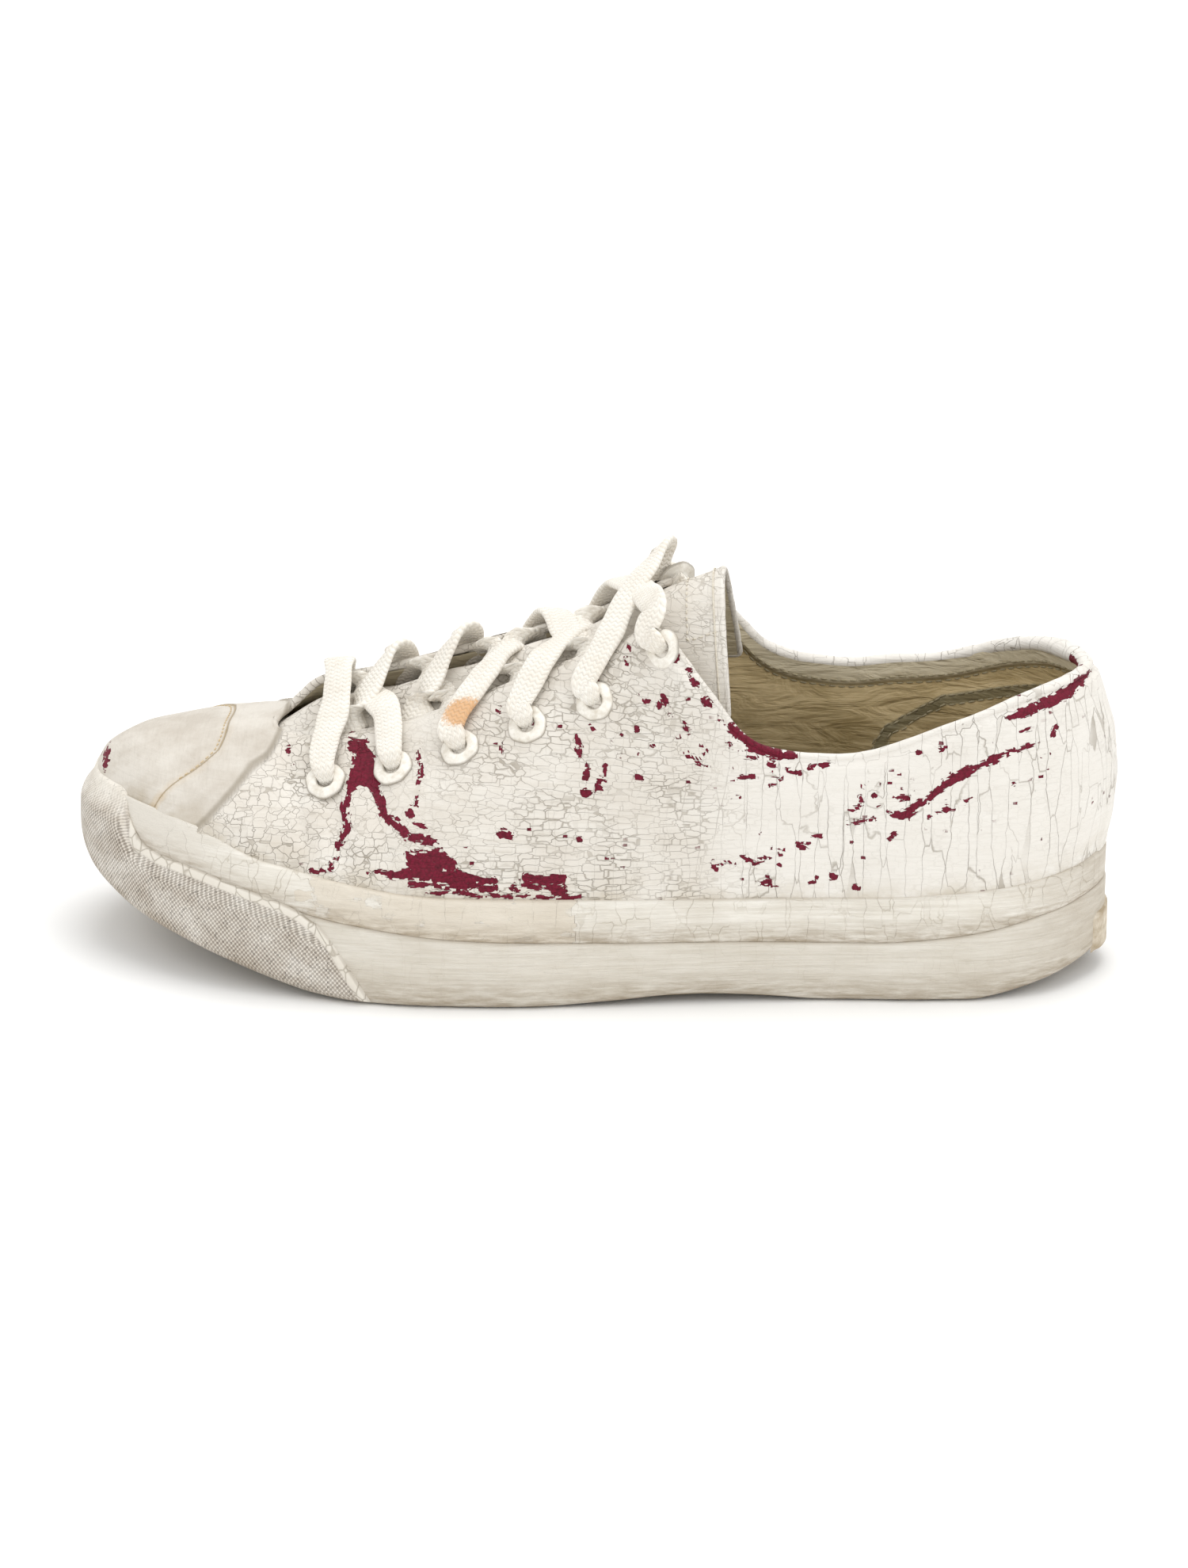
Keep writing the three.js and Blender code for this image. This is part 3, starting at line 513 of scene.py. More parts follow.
def cracked_house_paint():
    """Oil-bound house paint over leather: chalky white, dirty in its cracks, dull red where it is gone."""
    material, node, surface, place, bare, lap, cap, foot = finish(
        "cracked white house paint on burgundy leather", 0.6, "bare", "lap", "cap", "foot")
    feed(surface["Specular IOR Level"], 0.22)
    spot = node("SeparateXYZ", place).outputs
    on_quarter = node("MapRange", lap, -0.5, 0.5, interpolation_type="SMOOTHSTEP")
    back = node("MapRange", spot[0], 0.02, 0.06, interpolation_type="SMOOTHSTEP")
    middle = node("MapRange", spot[0], -0.06, -0.03, interpolation_type="SMOOTHSTEP")

    # Cracks wander by about a millimetre, and come and go over a couple of centimetres.
    bent = wander(node, place, (0.0009, 0.0009, 0.0008))
    patchy = node("TexNoise", at_size(node, place, (15, 15, 13)), 1.0, 3.0)

    def crack_lines(sizes, width, share):
        """Hairlines round squarish cells of the given mm, which open only where the paint is patchy."""
        cells = cell_edges(node, at_size(node, bent, sizes, start=(0.3, 0.7, 0.1)))
        open_up = node("MapRange", patchy, 0.4, 0.68, width * 0.45, width)
        closed = node("Math DIVIDE", cells, open_up, use_clamp=True)
        line = node("Math SUBTRACT", 1.0, closed)
        line = node("Math MULTIPLY", line, node("MapRange", patchy, 0.38, 0.62, 0.42, 1.0))
        return node("Math MULTIPLY", line, share)

    front_share = node("Math SUBTRACT", 1.0, middle)
    back_share = node("MapRange", back, 0.0, 1.0, 0.3, 0.8)
    brick_share = node("MapRange", back, 0.0, 1.0, 0.85, 0.15)
    brick_share = node("Math MULTIPLY", brick_share, middle)
    polygons = crack_lines((3.2, 3.2, 2.4), 0.09, front_share)
    bricks = crack_lines((4.6, 4.6, 1.8), 0.1, brick_share)
    uprights = crack_lines((5, 5, 30), 0.036, back_share)
    crack = node("Math MAXIMUM", polygons, bricks)
    crack = node("Math MAXIMUM", crack, uprights)
    crack = node("Math MULTIPLY", crack, node("MapRange", on_quarter, 0.0, 1.0, 0.05, 1.0))

    # Flakes leave with ragged polygon edges: each small flake holds on a little more or less than the next.
    flake = node("TexVoronoi", at_size(node, bent, (1.9, 1.9, 1.2)), 1.0, distance="CHEBYCHEV")
    plate = node("TexVoronoi", at_size(node, bent, (4.2, 4.2, 2.2)), 1.0, distance="CHEBYCHEV")
    hold, grip = (node("SeparateColor", each.outputs["Color"]) for each in (flake, plate))
    reach = node("Math MULTIPLY_ADD", hold, 1.1, -0.55)
    reach = node("Math MULTIPLY_ADD", grip, 0.8, reach)
    reach = node("Math ADD", reach, bare)
    chipped = node("MapRange", reach, 0.35, 0.45)
    # A sprinkling of single flakes lost along the cracks.
    lost = node("MapRange", hold.outputs[1], 0.968, 0.972)
    loose = node("MapRange", patchy, 0.52, 0.58)
    near = node("MapRange", flake.outputs["Distance"], 0.3, 0.36, 1.0, 0.0)
    lost = node("Math MULTIPLY", node("Math MULTIPLY", lost, loose), near)
    lost = node("Math MULTIPLY", lost, on_quarter)
    chipped = node("Math MAXIMUM", chipped, lost)

    brushed = node("TexNoise", at_size(node, place, (20, 20, 0.7)), 1.0, 3.0, 0.6)
    cloudy = node("TexNoise", at_size(node, place, (16, 16, 10)), 1.0, 5.0, 0.62)
    cloth = node("TexNoise", at_size(node, place, (0.9, 6, 3)), 1.0, 2.0)
    uneven = node("MapRange", cloudy, 0.35, 0.7)
    clean = node("Mix RGBA", uneven, "#dfdad1", "#d4cdc2")
    streak = node("MapRange", brushed, 0.5, 0.72, 0.0, 0.45)
    clean = node("Mix RGBA", streak, clean, "#c6beb1")
    sheltered = node("Math MULTIPLY", back, 0.55)
    clean = node("Mix RGBA", sheltered, clean, "#e9e6e0")
    uneven = node("MapRange", cloudy, 0.38, 0.62)
    handled = node("Mix RGBA", uneven, "#d5cfc5", "#c2baae")
    paint = node("Mix RGBA", on_quarter, handled, clean)

    # Grime settles just above the foxing and along the cap seam; a painted shadow lies under the quarter's
    # edge.
    low = node("MapRange", foot, 0.0, 7.0, 0.55, 0.0)
    low = node("Math MULTIPLY", low, node("MapRange", cloudy, 0.4, 0.65))
    paint = node("Mix RGBA", low, paint, "#b9ad97")
    # Painted shadow: a dark line just ahead of the quarter's lap edge, where the raised quarter shades the
    # vamp.
    edge = node("Math ABSOLUTE", node("Math ADD", lap, 0.9))
    edge = node("MapRange", edge, 0.1, 1.2, 0.6, 0.0, interpolation_type="SMOOTHSTEP")
    paint = node("Mix RGBA", edge, paint, "#8b8170")
    seam = node("Math ABSOLUTE", cap)
    halo = node("MapRange", seam, 0.2, 3.0, 0.55, 0.0, interpolation_type="SMOOTHSTEP")
    rusty = node("MapRange", spot[2], 0.05, 0.06, 1.0, 0.2, interpolation_type="SMOOTHSTEP")
    halo = node("Math MULTIPLY", halo, rusty)
    halo = node("Math MULTIPLY", halo, node("MapRange", cloudy, 0.3, 0.6))
    paint = node("Mix RGBA", halo, paint, "#cfae74")
    groove = node("MapRange", seam, 0.1, 0.55, 0.75, 0.0)
    paint = node("Mix RGBA", groove, paint, "#a08a62")
    paint = node("Mix RGBA", node("Math MULTIPLY", crack, 0.8), paint, "#857a69")
    pores = node("TexVoronoi", at_size(node, place, (0.8, 0.8, 0.8)), 1.0)
    hide = node("Mix RGBA", pores, "#7a0f2e", "#520719")
    color = node("Mix RGBA", chipped, paint, hide)
    feed(surface["Roughness"], node("MapRange", chipped, 0.0, 1.0, 0.62, 0.45))

    # Brush ridges, cloth-like grain on the vamp, crack grooves, and the step down to bare leather.
    grain = node("Math MULTIPLY", cloth, node("Math SUBTRACT", 1.0, on_quarter))
    coat(node, surface, color, (brushed, 0.22), (grain, 0.25), (crack, -0.2), (on_quarter, 0.7),
         (groove, -0.4), (chipped, -0.35))
    return material


leather_form = Form(0)
house_paint = cracked_house_paint()
STATIONS, ROWS = ((430, 104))
points, faces = [], []
for side in (LATERAL, MEDIAL):
    grid, from_edge = leather_form.side_grid(side, STATIONS, ROWS)
    x, y, z = np.moveaxis(grid, 2, 0)
    swell = leather_swell(x, y, z)
    for at, lean, depth, width, low, high in CREASES:
        trough = np.exp(-(((x - at - lean * (z - 50)) / width) ** 2))
        swell -= depth * trough * smooth((z - low) / 8) * smooth((high - z) / 8)
    # Only what shows above the foxing moves. Nothing moves at the toe, or at the cut edge under its binding.
    swell *= smooth((z - foxing_top(x) + 6) / 8) * smooth((x - leather_form.toe) / 6)
    swell *= 1 - (1 - smooth(from_edge / 3.5)) * smooth((x - THROAT + 2) / 3)
    grid = grid + outward_of(grid, side) * swell[..., None]
    points.append(grid.reshape(-1, 3))
    faces.append(grid_faces(STATIONS, ROWS, flip=side == LATERAL, first=STATIONS * ROWS * (side == MEDIAL)))
points, faces = np.concatenate(points), np.concatenate(faces)
shape("upper_leather", points, faces, "painted_leather", house_paint, ["upper"], **surface_marks(*points.T))

# ------------------------------
# Lining: tan glazing-kid leather glued inside the quarters, with a stitched heel pocket and a folded top
# band. Its colour darkens towards the bottom, and it has wrinkled where the foot bends it.
POCKET = np.array([
    [79, 46], [80, 50], [83.5, 57], [93, 63], [100, 67.5], [111, 70], [127, 74.5], [148, 77],
])
BAND_WIDTH = 5.4


def from_pocket(x, z):
    """Signed distance in mm from the heel pocket's front seam, positive inside the pocket."""
    best = np.full(np.shape(x), 1e9)
    for start, end in zip(POCKET[:-1], POCKET[1:]):
        _, away = nearest_on(x, z, start, end)
        side = np.sign((x - start[0]) * (end[1] - start[1]) - (z - start[1]) * (end[0] - start[0]))
        best = np.where(away < np.abs(best), away * side, best)
    return best


def worn_lining():
    """Thin tan leather: satin where it is clean, matt and greyed where the heel has rubbed it."""
    material, node, surface, place, band, pocket = finish(
        "worn tan lining leather", 0.62, "from_edge", "pocket")
    height = node("SeparateXYZ", place).outputs[2]
    cloudy = node("TexNoise", at_size(node, place, (20, 20, 14)), 1.0, 5.0, 0.6)
    hair = node("TexNoise", at_size(node, place, (9, 9, 0.9), turn=(0, 0.15, 0)), 1.0, 4.0, 0.6, None, 0.4)
    folds = node("TexNoise", at_size(node, place, (17, 17, 5), turn=(0, 0.45, 0)), 1.0, 3.0, 0.5, None, 1.4)
    tan = node("Mix RGBA", node("MapRange", cloudy, 0.3, 0.7), "#e8d2a4", "#b8a273")
    tan = node("Mix RGBA", node("MapRange", hair, 0.45, 0.75, 0.0, 0.22), tan, "#7f7352")
    # The colour darkens towards the bottom, from 7 cm down to 3 cm above the ground.
    tan = node("Mix RGBA", node("MapRange", height, 0.03, 0.07, 0.55, 0.0), tan, "#655b41")
    folded = node("MapRange", band, BAND_WIDTH - 0.4, BAND_WIDTH + 0.6, 1.0, 0.0)
    tan = node("Mix RGBA", folded, tan, "#d3c8ad")
    # Painted shade: a dark line where the raised top band steps down to the lining below it.
    painted_seam_shade = node("Math ABSOLUTE", node("Math ADD", band, -BAND_WIDTH - 0.5))
    painted_seam_shade = node("MapRange", painted_seam_shade, 0.2, 1.0, 0.6, 0.0)
    tan = node("Mix RGBA", painted_seam_shade, tan, "#6a6047")
    strip = node("Math ABSOLUTE", node("Math SUBTRACT", pocket, 1.7))
    strip = node("MapRange", strip, 1.3, 1.9, 0.85, 0.0)
    strip = node("Math MULTIPLY", strip, node("MapRange", cloudy, 0.25, 0.6, 0.6, 1.0))
    tan = node("Mix RGBA", strip, tan, "#6e6950")
    coat(node, surface, tan, (folds, 1.6), (hair, 0.3))
    return material


LINING_STATIONS, LINING_ROWS = 260, 70
lining_form = Form(-WALL)
lining_leather = worn_lining()
lining_sides = {side: lining_form.side_grid(side, LINING_STATIONS, LINING_ROWS) for side in (LATERAL, MEDIAL)}
points, faces, edges, pockets = [], [], [], []
for side, (grid, from_edge) in lining_sides.items():
    x, y, z = np.moveaxis(grid, 2, 0)
    wrinkle = 0.45 * soft_wave(x * 0.4, y, z, 11, 11) + 0.35 * soft_wave(x, y, z, 20, 12)
    inward = 0.3 + wrinkle * smooth((from_edge - 7) / 6) * 0.8
    inward += 0.9 * smooth((BAND_WIDTH - from_edge) / 0.8 + 0.5) + 0.8 * smooth(from_pocket(x, z) / 0.9 + 0.5)
    inward *= smooth((lining_form.heel + 3 - x) / 3) * smooth((x - 10) / 20)
    grid = grid - outward_of(grid, side) * inward[..., None]
    lining_sides[side] = grid, from_edge
    points.append(grid.reshape(-1, 3))
    first = from_edge.size * (side == MEDIAL)
    faces.append(grid_faces(LINING_STATIONS, LINING_ROWS, flip=side == MEDIAL, first=first))
    edges.append(from_edge.ravel())
    pockets.append(from_pocket(x, z).ravel())
shape("lining", np.concatenate(points), np.concatenate(faces), "painted_leather", lining_leather,
      from_edge=np.concatenate(edges), pocket=np.concatenate(pockets))

# ------------------------------
# Bound edge: the outer leather is turned over a cord all round the throat and collar, thin along the
# eyestays and padded round the heel, and painted with the rest.
def sweep(centres, ups, profile, wrap=False):
    """A profile of (sideways, up) mm pairs carried along a path, closed at its ends or into a ring."""
    along = np.roll(centres, -1, 0) - np.roll(centres, 1, 0) if wrap else np.gradient(centres, axis=0)
    along = unit(along)
    sideways = unit(np.cross(along, ups))
    up = np.cross(sideways, along)
    rings = centres[:, None] + sideways[:, None] * profile[..., :1] + up[:, None] * profile[..., 1:]
    count = profile.shape[1]
    faces = grid_faces(len(centres), count, wrap=True, ring=wrap).tolist()
    if not wrap:
        faces += [list(range(count))[::-1], [(len(centres) - 1) * count + j for j in range(count)]]
    return rings.reshape(-1, 3), faces


edge_form = Form(-0.9)
path, ups = [], []
for side in (LATERAL, MEDIAL):
    rows = [edge_form.half_section(x, side, 60)[0] for x in edge_form.stations(420, THROAT)]
    rim = np.array([row[-1] for row in rows])
    rise = np.array([row[-1] - row[-4] for row in rows])
    path.append(rim[::side * -1])
    ups.append(rise[::side * -1])
path, ups = np.concatenate([path[0], path[1][1:-1]]), np.concatenate([ups[0], ups[1][1:-1]])
run = run_along(path)
even = np.arange(0, run[-1], 0.9)
path, ups = points_at(even, run, path), unit(points_at(even, run, ups))
for _ in range(4):
    path = path * 0.5 + (np.roll(path, 1, 0) + np.roll(path, -1, 0)) * 0.25
    ups = ups * 0.5 + (np.roll(ups, 1, 0) + np.roll(ups, -1, 0)) * 0.25
turns = np.linspace(0, 2 * math.pi, 14, endpoint=False)
far_side = smooth((path[:, 1] + 12) / 24)
plump = 1.25 + 0.9 * far_side * smooth((path[:, 0] - 25) / 25) + 0.55 * smooth((path[:, 0] - 105) / 30)
plump = plump * (1 + 0.1 * soft_wave(*path.T, 11, 21) + 0.05 * soft_wave(*path.T, 4, 22))
profile = np.stack([np.cos(turns), np.sin(turns) * 0.85], 1)[None] * plump[:, None, None]
points, faces = sweep(path, ups, profile, wrap=True)
shape("edge_binding", points, faces, "painted_leather", house_paint, **surface_marks(*points.T))

# ------------------------------
# Stitching: waxed thread in short locked stitches, drawn by one tree that lays a capsule every few mm of a
# path: twice round the collar band, down both sides of the heel pocket, and across the toe cap seam.
def thread_finish(name, light, dark):
    """Twisted waxed thread: a slight sheen along a two-ply twist, dirty between the plies."""
    material, node, surface, place = finish(name, 0.7)
    twist = node("TexNoise", at_size(node, place, (1, 1, 0.5)), 1.0, 2.0)
    color = node("Mix RGBA", twist, light, dark)
    coat(node, surface, color, (twist, 0.1))
    return material


def stitch_tree():
    """Geometry Nodes: a path becomes evenly spaced capsules of thread lying along it."""
    tree = bpy.data.node_groups.new("stitches", "GeometryNodeTree")
    tree.interface.new_socket("Path", in_out="INPUT", socket_type="NodeSocketGeometry")
    for name in ("Pitch", "Length", "Thread"):
        tree.interface.new_socket(name, in_out="INPUT", socket_type="NodeSocketFloat")
    tree.interface.new_socket("Material", in_out="INPUT", socket_type="NodeSocketMaterial")
    tree.interface.new_socket("Stitches", in_out="OUTPUT", socket_type="NodeSocketGeometry")
    given = add(tree, "NodeGroupInput").outputs
    seam = add(tree, "GeometryNodeMeshToCurve", given["Path"])
    seam = add(tree, "GeometryNodeResampleCurve", seam, None, given["Pitch"], mode="LENGTH")
    along = add(tree, "GeometryNodeInputTangent")
    lie = add(tree, "FunctionNodeAlignRotationToVector", None, 1.0, along, axis="X")
    half = add(tree, "Math MULTIPLY", given["Length"], 0.5)
    size = add(tree, "CombineXYZ", half, given["Thread"], given["Thread"])
    ball = add(tree, "GeometryNodeMeshUVSphere", 8, 6, 1.0)
    capsule = add(tree, "GeometryNodeTransform", ball, None, None, size)
    laid = add(tree, "GeometryNodeInstanceOnPoints", seam, None, capsule, None, None, lie)
    solid = add(tree, "GeometryNodeRealizeInstances", laid)
    dyed = add(tree, "GeometryNodeSetMaterial", solid, None, given["Material"])
    add(tree, "NodeGroupOutput", dyed)
    return tree


stitches = stitch_tree()


def sew(name, paths, thread, pitch=2.8, length=2.1, radius=0.28):
    """Lays stitches along paths in mm and rides them on the shoe as one plain mesh."""
    mesh = bpy.data.meshes.new(name)
    points = np.concatenate(paths) * MM
    starts = np.cumsum([0] + [len(path) for path in paths])
    links = [(i, i + 1) for a, b in zip(starts[:-1], starts[1:]) for i in range(a, b - 1)]
    mesh.from_pydata(points.tolist(), links, [])
    line = bpy.data.objects.new(name, mesh)
    bpy.context.collection.objects.link(line)
    modifier = line.modifiers.new("stitches", "NODES")
    modifier.node_group = stitches
    sizes = {"Pitch": pitch * MM, "Length": length * MM, "Thread": radius * MM, "Material": thread}
    for item in stitches.interface.items_tree:
        if item.in_out == "INPUT" and item.name in sizes:
            modifier[item.identifier] = sizes[item.name]
    bpy.context.view_layer.update()
    sewn = bpy.data.meshes.new_from_object(line.evaluated_get(bpy.context.evaluated_depsgraph_get()))
    line.modifiers.remove(modifier)
    line.data = sewn
    sewn.shade_smooth()
    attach(line, "root")


def row_below_edge(side, distance, start, end, lift=0.15):
    """Points on the lining a fixed distance below its top edge."""
    grid, from_edge = lining_sides[side]
    inward = -outward_of(grid, side) * lift
    return np.array([points_at(-distance, -away, row + push)
                     for row, push, away in zip(grid, inward, from_edge) if start < row[-1, 0] < end])


def on_lining(side, flat, lift=0.2):
    """Side-view points (x, z) carried onto the lining."""
    grid, _ = lining_sides[side]
    normal = outward_of(grid, side)
    found = []
    for x, z in flat:
        i = np.unravel_index(np.argmin((grid[..., 0] - x) ** 2 + (grid[..., 2] - z) ** 2), grid.shape[:2])
        found.append(grid[i] - normal[i] * lift)
    return np.array(found)


tan_thread = thread_finish("waxed tan thread", "#b3a98c", "#857b60")
gold_thread = thread_finish("faded gold thread under paint", "#dccbaa", "#b9a077")
collar_rows = [row_below_edge(side, below, 34, 138) for side in (LATERAL, MEDIAL) for below in (4.4, 6.6)]
sew("collar_stitches", collar_rows, tan_thread)
steps = np.linspace(0, len(POCKET) - 1.6, 60)
arc = points_at(steps, np.arange(len(POCKET)), POCKET)
arc_out = unit(np.gradient(arc, axis=0)[:, ::-1] * [1, -1])
pocket_rows = [on_lining(side, arc + arc_out * inset) for side in (LATERAL, MEDIAL) for inset in (0.4, 3.2)]
sew("pocket_stitches", pocket_rows, tan_thread)
across = np.linspace(-21, 26, 80)
ahead = cap_seam(across) - 1.2
high = leather_form.height_at(ahead, across)
seam = np.stack([ahead, across, high + leather_swell(ahead, across, high) + 0.12], 1)
sew("cap_seam_stitches", [seam], gold_thread, pitch=1.9, length=1.3, radius=0.22)

# ------------------------------
# Tongue: a leaf of the same painted leather, lined in tan, sewn in under the vamp. It lies just under the
# eyestays and stands out of the throat, bent into a steep arch by years of pulling.
tongue_form = Form(-WALL - 1.2)
TONGUE_BULGE = 1.2
tongue_ridge = curve_through([[0, 95], [10, 101], [20, 107.5], [30, 112.2], [38, 116]])
tongue_arch = curve_through([[0, 0.03], [20, 0.04], [38, 0.052]])
tongue_half = curve_through([[-98, 15], [-80, 20], [-30, 22], [10, 24], [28, 26], [38, 26]])


def tongue_point(s, w, lift=0.0):
    """A point s of the way up the tongue and w across it, -1 to 1."""
    x0 = -97 + 135.0 * s
    y = w * tongue_half(x0)
    x = x0 + 0.006 * y * y * smooth((x0 - 5) / 30)
    free = smooth((x0 - 2) / 20)
    under = tongue_form.height_at(np.minimum(x, 12), y)
    under = under + 0.65 * stay_curl(x0, np.maximum(y, slot_half(x0))) * smooth((y + 5) / 10)
    arch = tongue_ridge(x0) - tongue_arch(x0) * y * y
    z = under * (1 - free) + arch * free + 0.45 * soft_wave(x, y, x * 0, 15, 31) * smooth((x0 + 88) / 14)
    z = z + TONGUE_BULGE * smooth(1 - np.abs(y) / 11) * smooth((x0 + 92) / 6) * (1 - free)
    return np.stack([x, y, z + lift], -1)


TONGUE_ROWS, TONGUE_COLUMNS, TONGUE_THICK, FREE_FROM = 170, 60, 1.9, 60
# Painted all over, with no chips, laps or seams.
PLAIN_PAINT = {"bare": -50.0, "lap": 5.0, "cap": 30.0, "foot": 20.0}
s, w = np.meshgrid(np.linspace(0, 1, TONGUE_ROWS), np.linspace(-1, 1, TONGUE_COLUMNS), indexing="ij")
front = tongue_point(s, w)
normal = unit(np.cross(np.gradient(front, axis=0), np.gradient(front, axis=1)))
normal *= np.sign(normal[..., 2:3])
back = front - normal * TONGUE_THICK
shape("tongue_leather", front.reshape(-1, 3), grid_faces(TONGUE_ROWS, TONGUE_COLUMNS), "tongue_leather",
      house_paint, ["tongue"], **PLAIN_PAINT)
shape("tongue_lining", back.reshape(-1, 3), grid_faces(TONGUE_ROWS, TONGUE_COLUMNS, flip=True),
      "tongue_leather", lining_leather, pocket=-30.0,
      from_edge=np.minimum((1 - np.abs(w)) * 24, (1 - s) * 135))
# The edge that shows runs up one side, over the top and down the other.
rim, rim_up = (np.concatenate([leaf[FREE_FROM:, 0], leaf[-1], leaf[FREE_FROM:, -1][::-1]])
               for leaf in ((front + back) / 2, normal))
for _ in range(3):
    rim[1:-1] = rim[1:-1] * 0.5 + (rim[:-2] + rim[2:]) * 0.25
swell = 1.05 + 0.08 * soft_wave(*rim.T, 5, 41)
profile = np.stack([np.cos(turns), np.sin(turns)], 1)[None] * swell[:, None, None]
points, faces = sweep(rim, rim_up, profile)
shape("tongue_edge", points, faces, "tongue_leather", house_paint, **PLAIN_PAINT)
white_thread = thread_finish("white thread under paint", "#e9e4d8", "#bdb29c")
whip = tongue_point(np.full(90, 0.985), np.linspace(-0.97, 0.97, 90), 0.35)
sew("tongue_whip_stitches", [whip], white_thread, pitch=1.9, length=3.0, radius=0.25)
patch = np.concatenate([tongue_point(np.linspace(0.985, 0.93, 14), np.full(14, -0.62), 0.3),
                        tongue_point(np.full(50, 0.93), np.linspace(-0.62, 0.62, 50), 0.3),
                        tongue_point(np.linspace(0.93, 0.985, 14), np.full(14, 0.62), 0.3)])
sew("tongue_patch_stitches", [patch], white_thread, pitch=2.0, length=1.4, radius=0.24)

# ------------------------------
# Eyelets: six pressed steel rings a side, clinched through the eyestays and clogged with paint, which has
# cracked in a ring round each flange.
EYELETS, FIRST_EYELET, EYELET_PITCH = 6, -71.8, 19.2
EYELET_ROW = {LATERAL: -26.4, MEDIAL: 23.0}


def face_point(x, y, lift=0.0):
    z = float(leather_form.height_at(x, y))
    return np.array([x, y, z + float(stay_curl(x, y)) + float(leather_swell(x, y, z)) + lift])


def face_normal(x, y):
    normal = np.cross(face_point(x + 1.5, y) - face_point(x - 1.5, y),
                      face_point(x, y + 1.5) - face_point(x, y - 1.5))
    return unit(normal)


def painted_eyelet():
    """Nickelled steel under several coats of paint: smooth and chalky, grey where the lace polishes it."""
    material, node, surface, place, ring = finish("paint-clogged steel eyelet", 0.55, "radius")
    rubbed = node("TexNoise", at_size(node, place, (3, 3, 3)), 1.0, 4.0, 0.7)
    color = node("Mix RGBA", node("MapRange", rubbed, 0.4, 0.7), "#f1ede4", "#d3cbbc")
    # Painted shade: the colour darkens down the inside of the hole.
    painted_hole_shade = node("MapRange", ring, 2.2, 2.9, 0.85, 0.0)
    color = node("Mix RGBA", painted_hole_shade, color, "#8e8577")
    rim = node("MapRange", ring, 5.3, 5.8, 0.0, 0.7)
    color = node("Mix RGBA", rim, color, "#7b7061")
    coat(node, surface, color, (rubbed, 0.3))
    return material


eyelet_paint = painted_eyelet()
RING_STEPS = 36
# Radius and height of the ring's section, up the hole, over the flange and down outside the barrel.
RING_PROFILE = [
    (2.2, -2.9), (2.2, 1.0), (2.5, 1.45), (3.1, 1.65), (4.0, 1.65), (4.8, 1.5), (5.4, 1.2), (5.8, 0.7),
    (5.6, 0.2), (3.0, 0.1), (3.0, -2.9),
]
for side, word in ((LATERAL, "lateral"), (MEDIAL, "medial")):
    for i in range(EYELETS):
        x, y = FIRST_EYELET + EYELET_PITCH * i, EYELET_ROW[side]
        at, normal = face_point(x, y), face_normal(x, y)
        across = unit(np.cross(normal, [1, 0, 0]))
        along = np.cross(across, normal)
        ring, radii = [], []
        for a in np.linspace(0, 2 * math.pi, RING_STEPS, endpoint=False):
            wobbly = 1 + 0.035 * math.sin(3 * a + i) + 0.02 * math.sin(7 * a + 2 * i)
            for r, h in RING_PROFILE:
                r_here = r * (wobbly if r > 4 else 1)
                ring.append(at + normal * h + (along * math.cos(a) + across * math.sin(a)) * r_here)
                radii.append(r)
        faces = grid_faces(RING_STEPS, len(RING_PROFILE), wrap=True, ring=True, flip=True)
        shape(f"eyelet_ring_{word}_{i + 1}", ring, faces, "eyelet_metal", eyelet_paint,
              [f"eyelet_{word}_{i + 1}"], radius=radii)

# ------------------------------
# Insole and outsole: a canvas-covered foot bed dished by wear, and a moulded gum rubber sole that shows
# only as a thin dirty line under the tapes, and as a fine cross tread underneath.
def foot_bed_canvas():
    """Plain-woven cotton glued to foam: fine square weave, dark and shiny under the heel and ball."""
    material, node, surface, place = finish("sweat-darkened canvas foot bed", 0.85)
    warp = node("TexWave", at_size(node, place, (1.2, 1.2, 1.2)), 0.314, bands_direction="X")
    weft = node("TexWave", at_size(node, place, (1.2, 1.2, 1.2)), 0.314, bands_direction="Y")
    weave = node("Math MULTIPLY", warp.outputs["Fac"], weft.outputs["Fac"])
    cloudy = node("TexNoise", at_size(node, place, (30, 22, 22)), 1.0, 4.0, 0.6)
    color = node("Mix RGBA", node("MapRange", cloudy, 0.35, 0.65), "#9a8f72", "#5f563f")
    color = node("Mix RGBA", node("MapRange", weave, 0.0, 0.5, 0.4, 0.0), color, "#463e2c")
    coat(node, surface, color, (weave, 0.3))
    return material


def gum_rubber():
    """Moulded gum rubber: matt and scuffed, ground-in dirt, and a 3 mm diamond tread cast into it."""
    material, node, surface, place = finish("scuffed gum rubber", 0.78)
    facing = node("SeparateXYZ", node("NewGeometry").outputs["True Normal"])
    below = node("MapRange", facing.outputs[2], -0.9, -0.7, 1.0, 0.0)
    cloudy = node("TexNoise", at_size(node, place, (22, 22, 22)), 1.0, 5.0, 0.65)
    one = node("TexWave", at_size(node, place, (3, 3, 3), turn=(0, 0, 0.785)), 0.314, bands_direction="X")
    two = node("TexWave", at_size(node, place, (3, 3, 3), turn=(0, 0, -0.785)), 0.314, bands_direction="X")
    tread = node("Math MULTIPLY", one.outputs["Fac"], two.outputs["Fac"])
    tread = node("MapRange", tread, 0.1, 0.4)
    tread = node("Math MULTIPLY", tread, below)
    color = node("Mix RGBA", node("MapRange", cloudy, 0.3, 0.7), "#a3906c", "#76684e")
    dirt = node("Math MULTIPLY", node("Math SUBTRACT", 1.0, tread), below)
    color = node("Mix RGBA", node("Math MULTIPLY", dirt, 0.5), color, "#4b4232")
    coat(node, surface, color, (tread, 0.6), (cloudy, 0.3))
    return material


for name, material in (("insole", foot_bed_canvas()), ("outsole", gum_rubber())):
    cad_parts[name].data.materials.clear()
    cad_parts[name].data.materials.append(material)

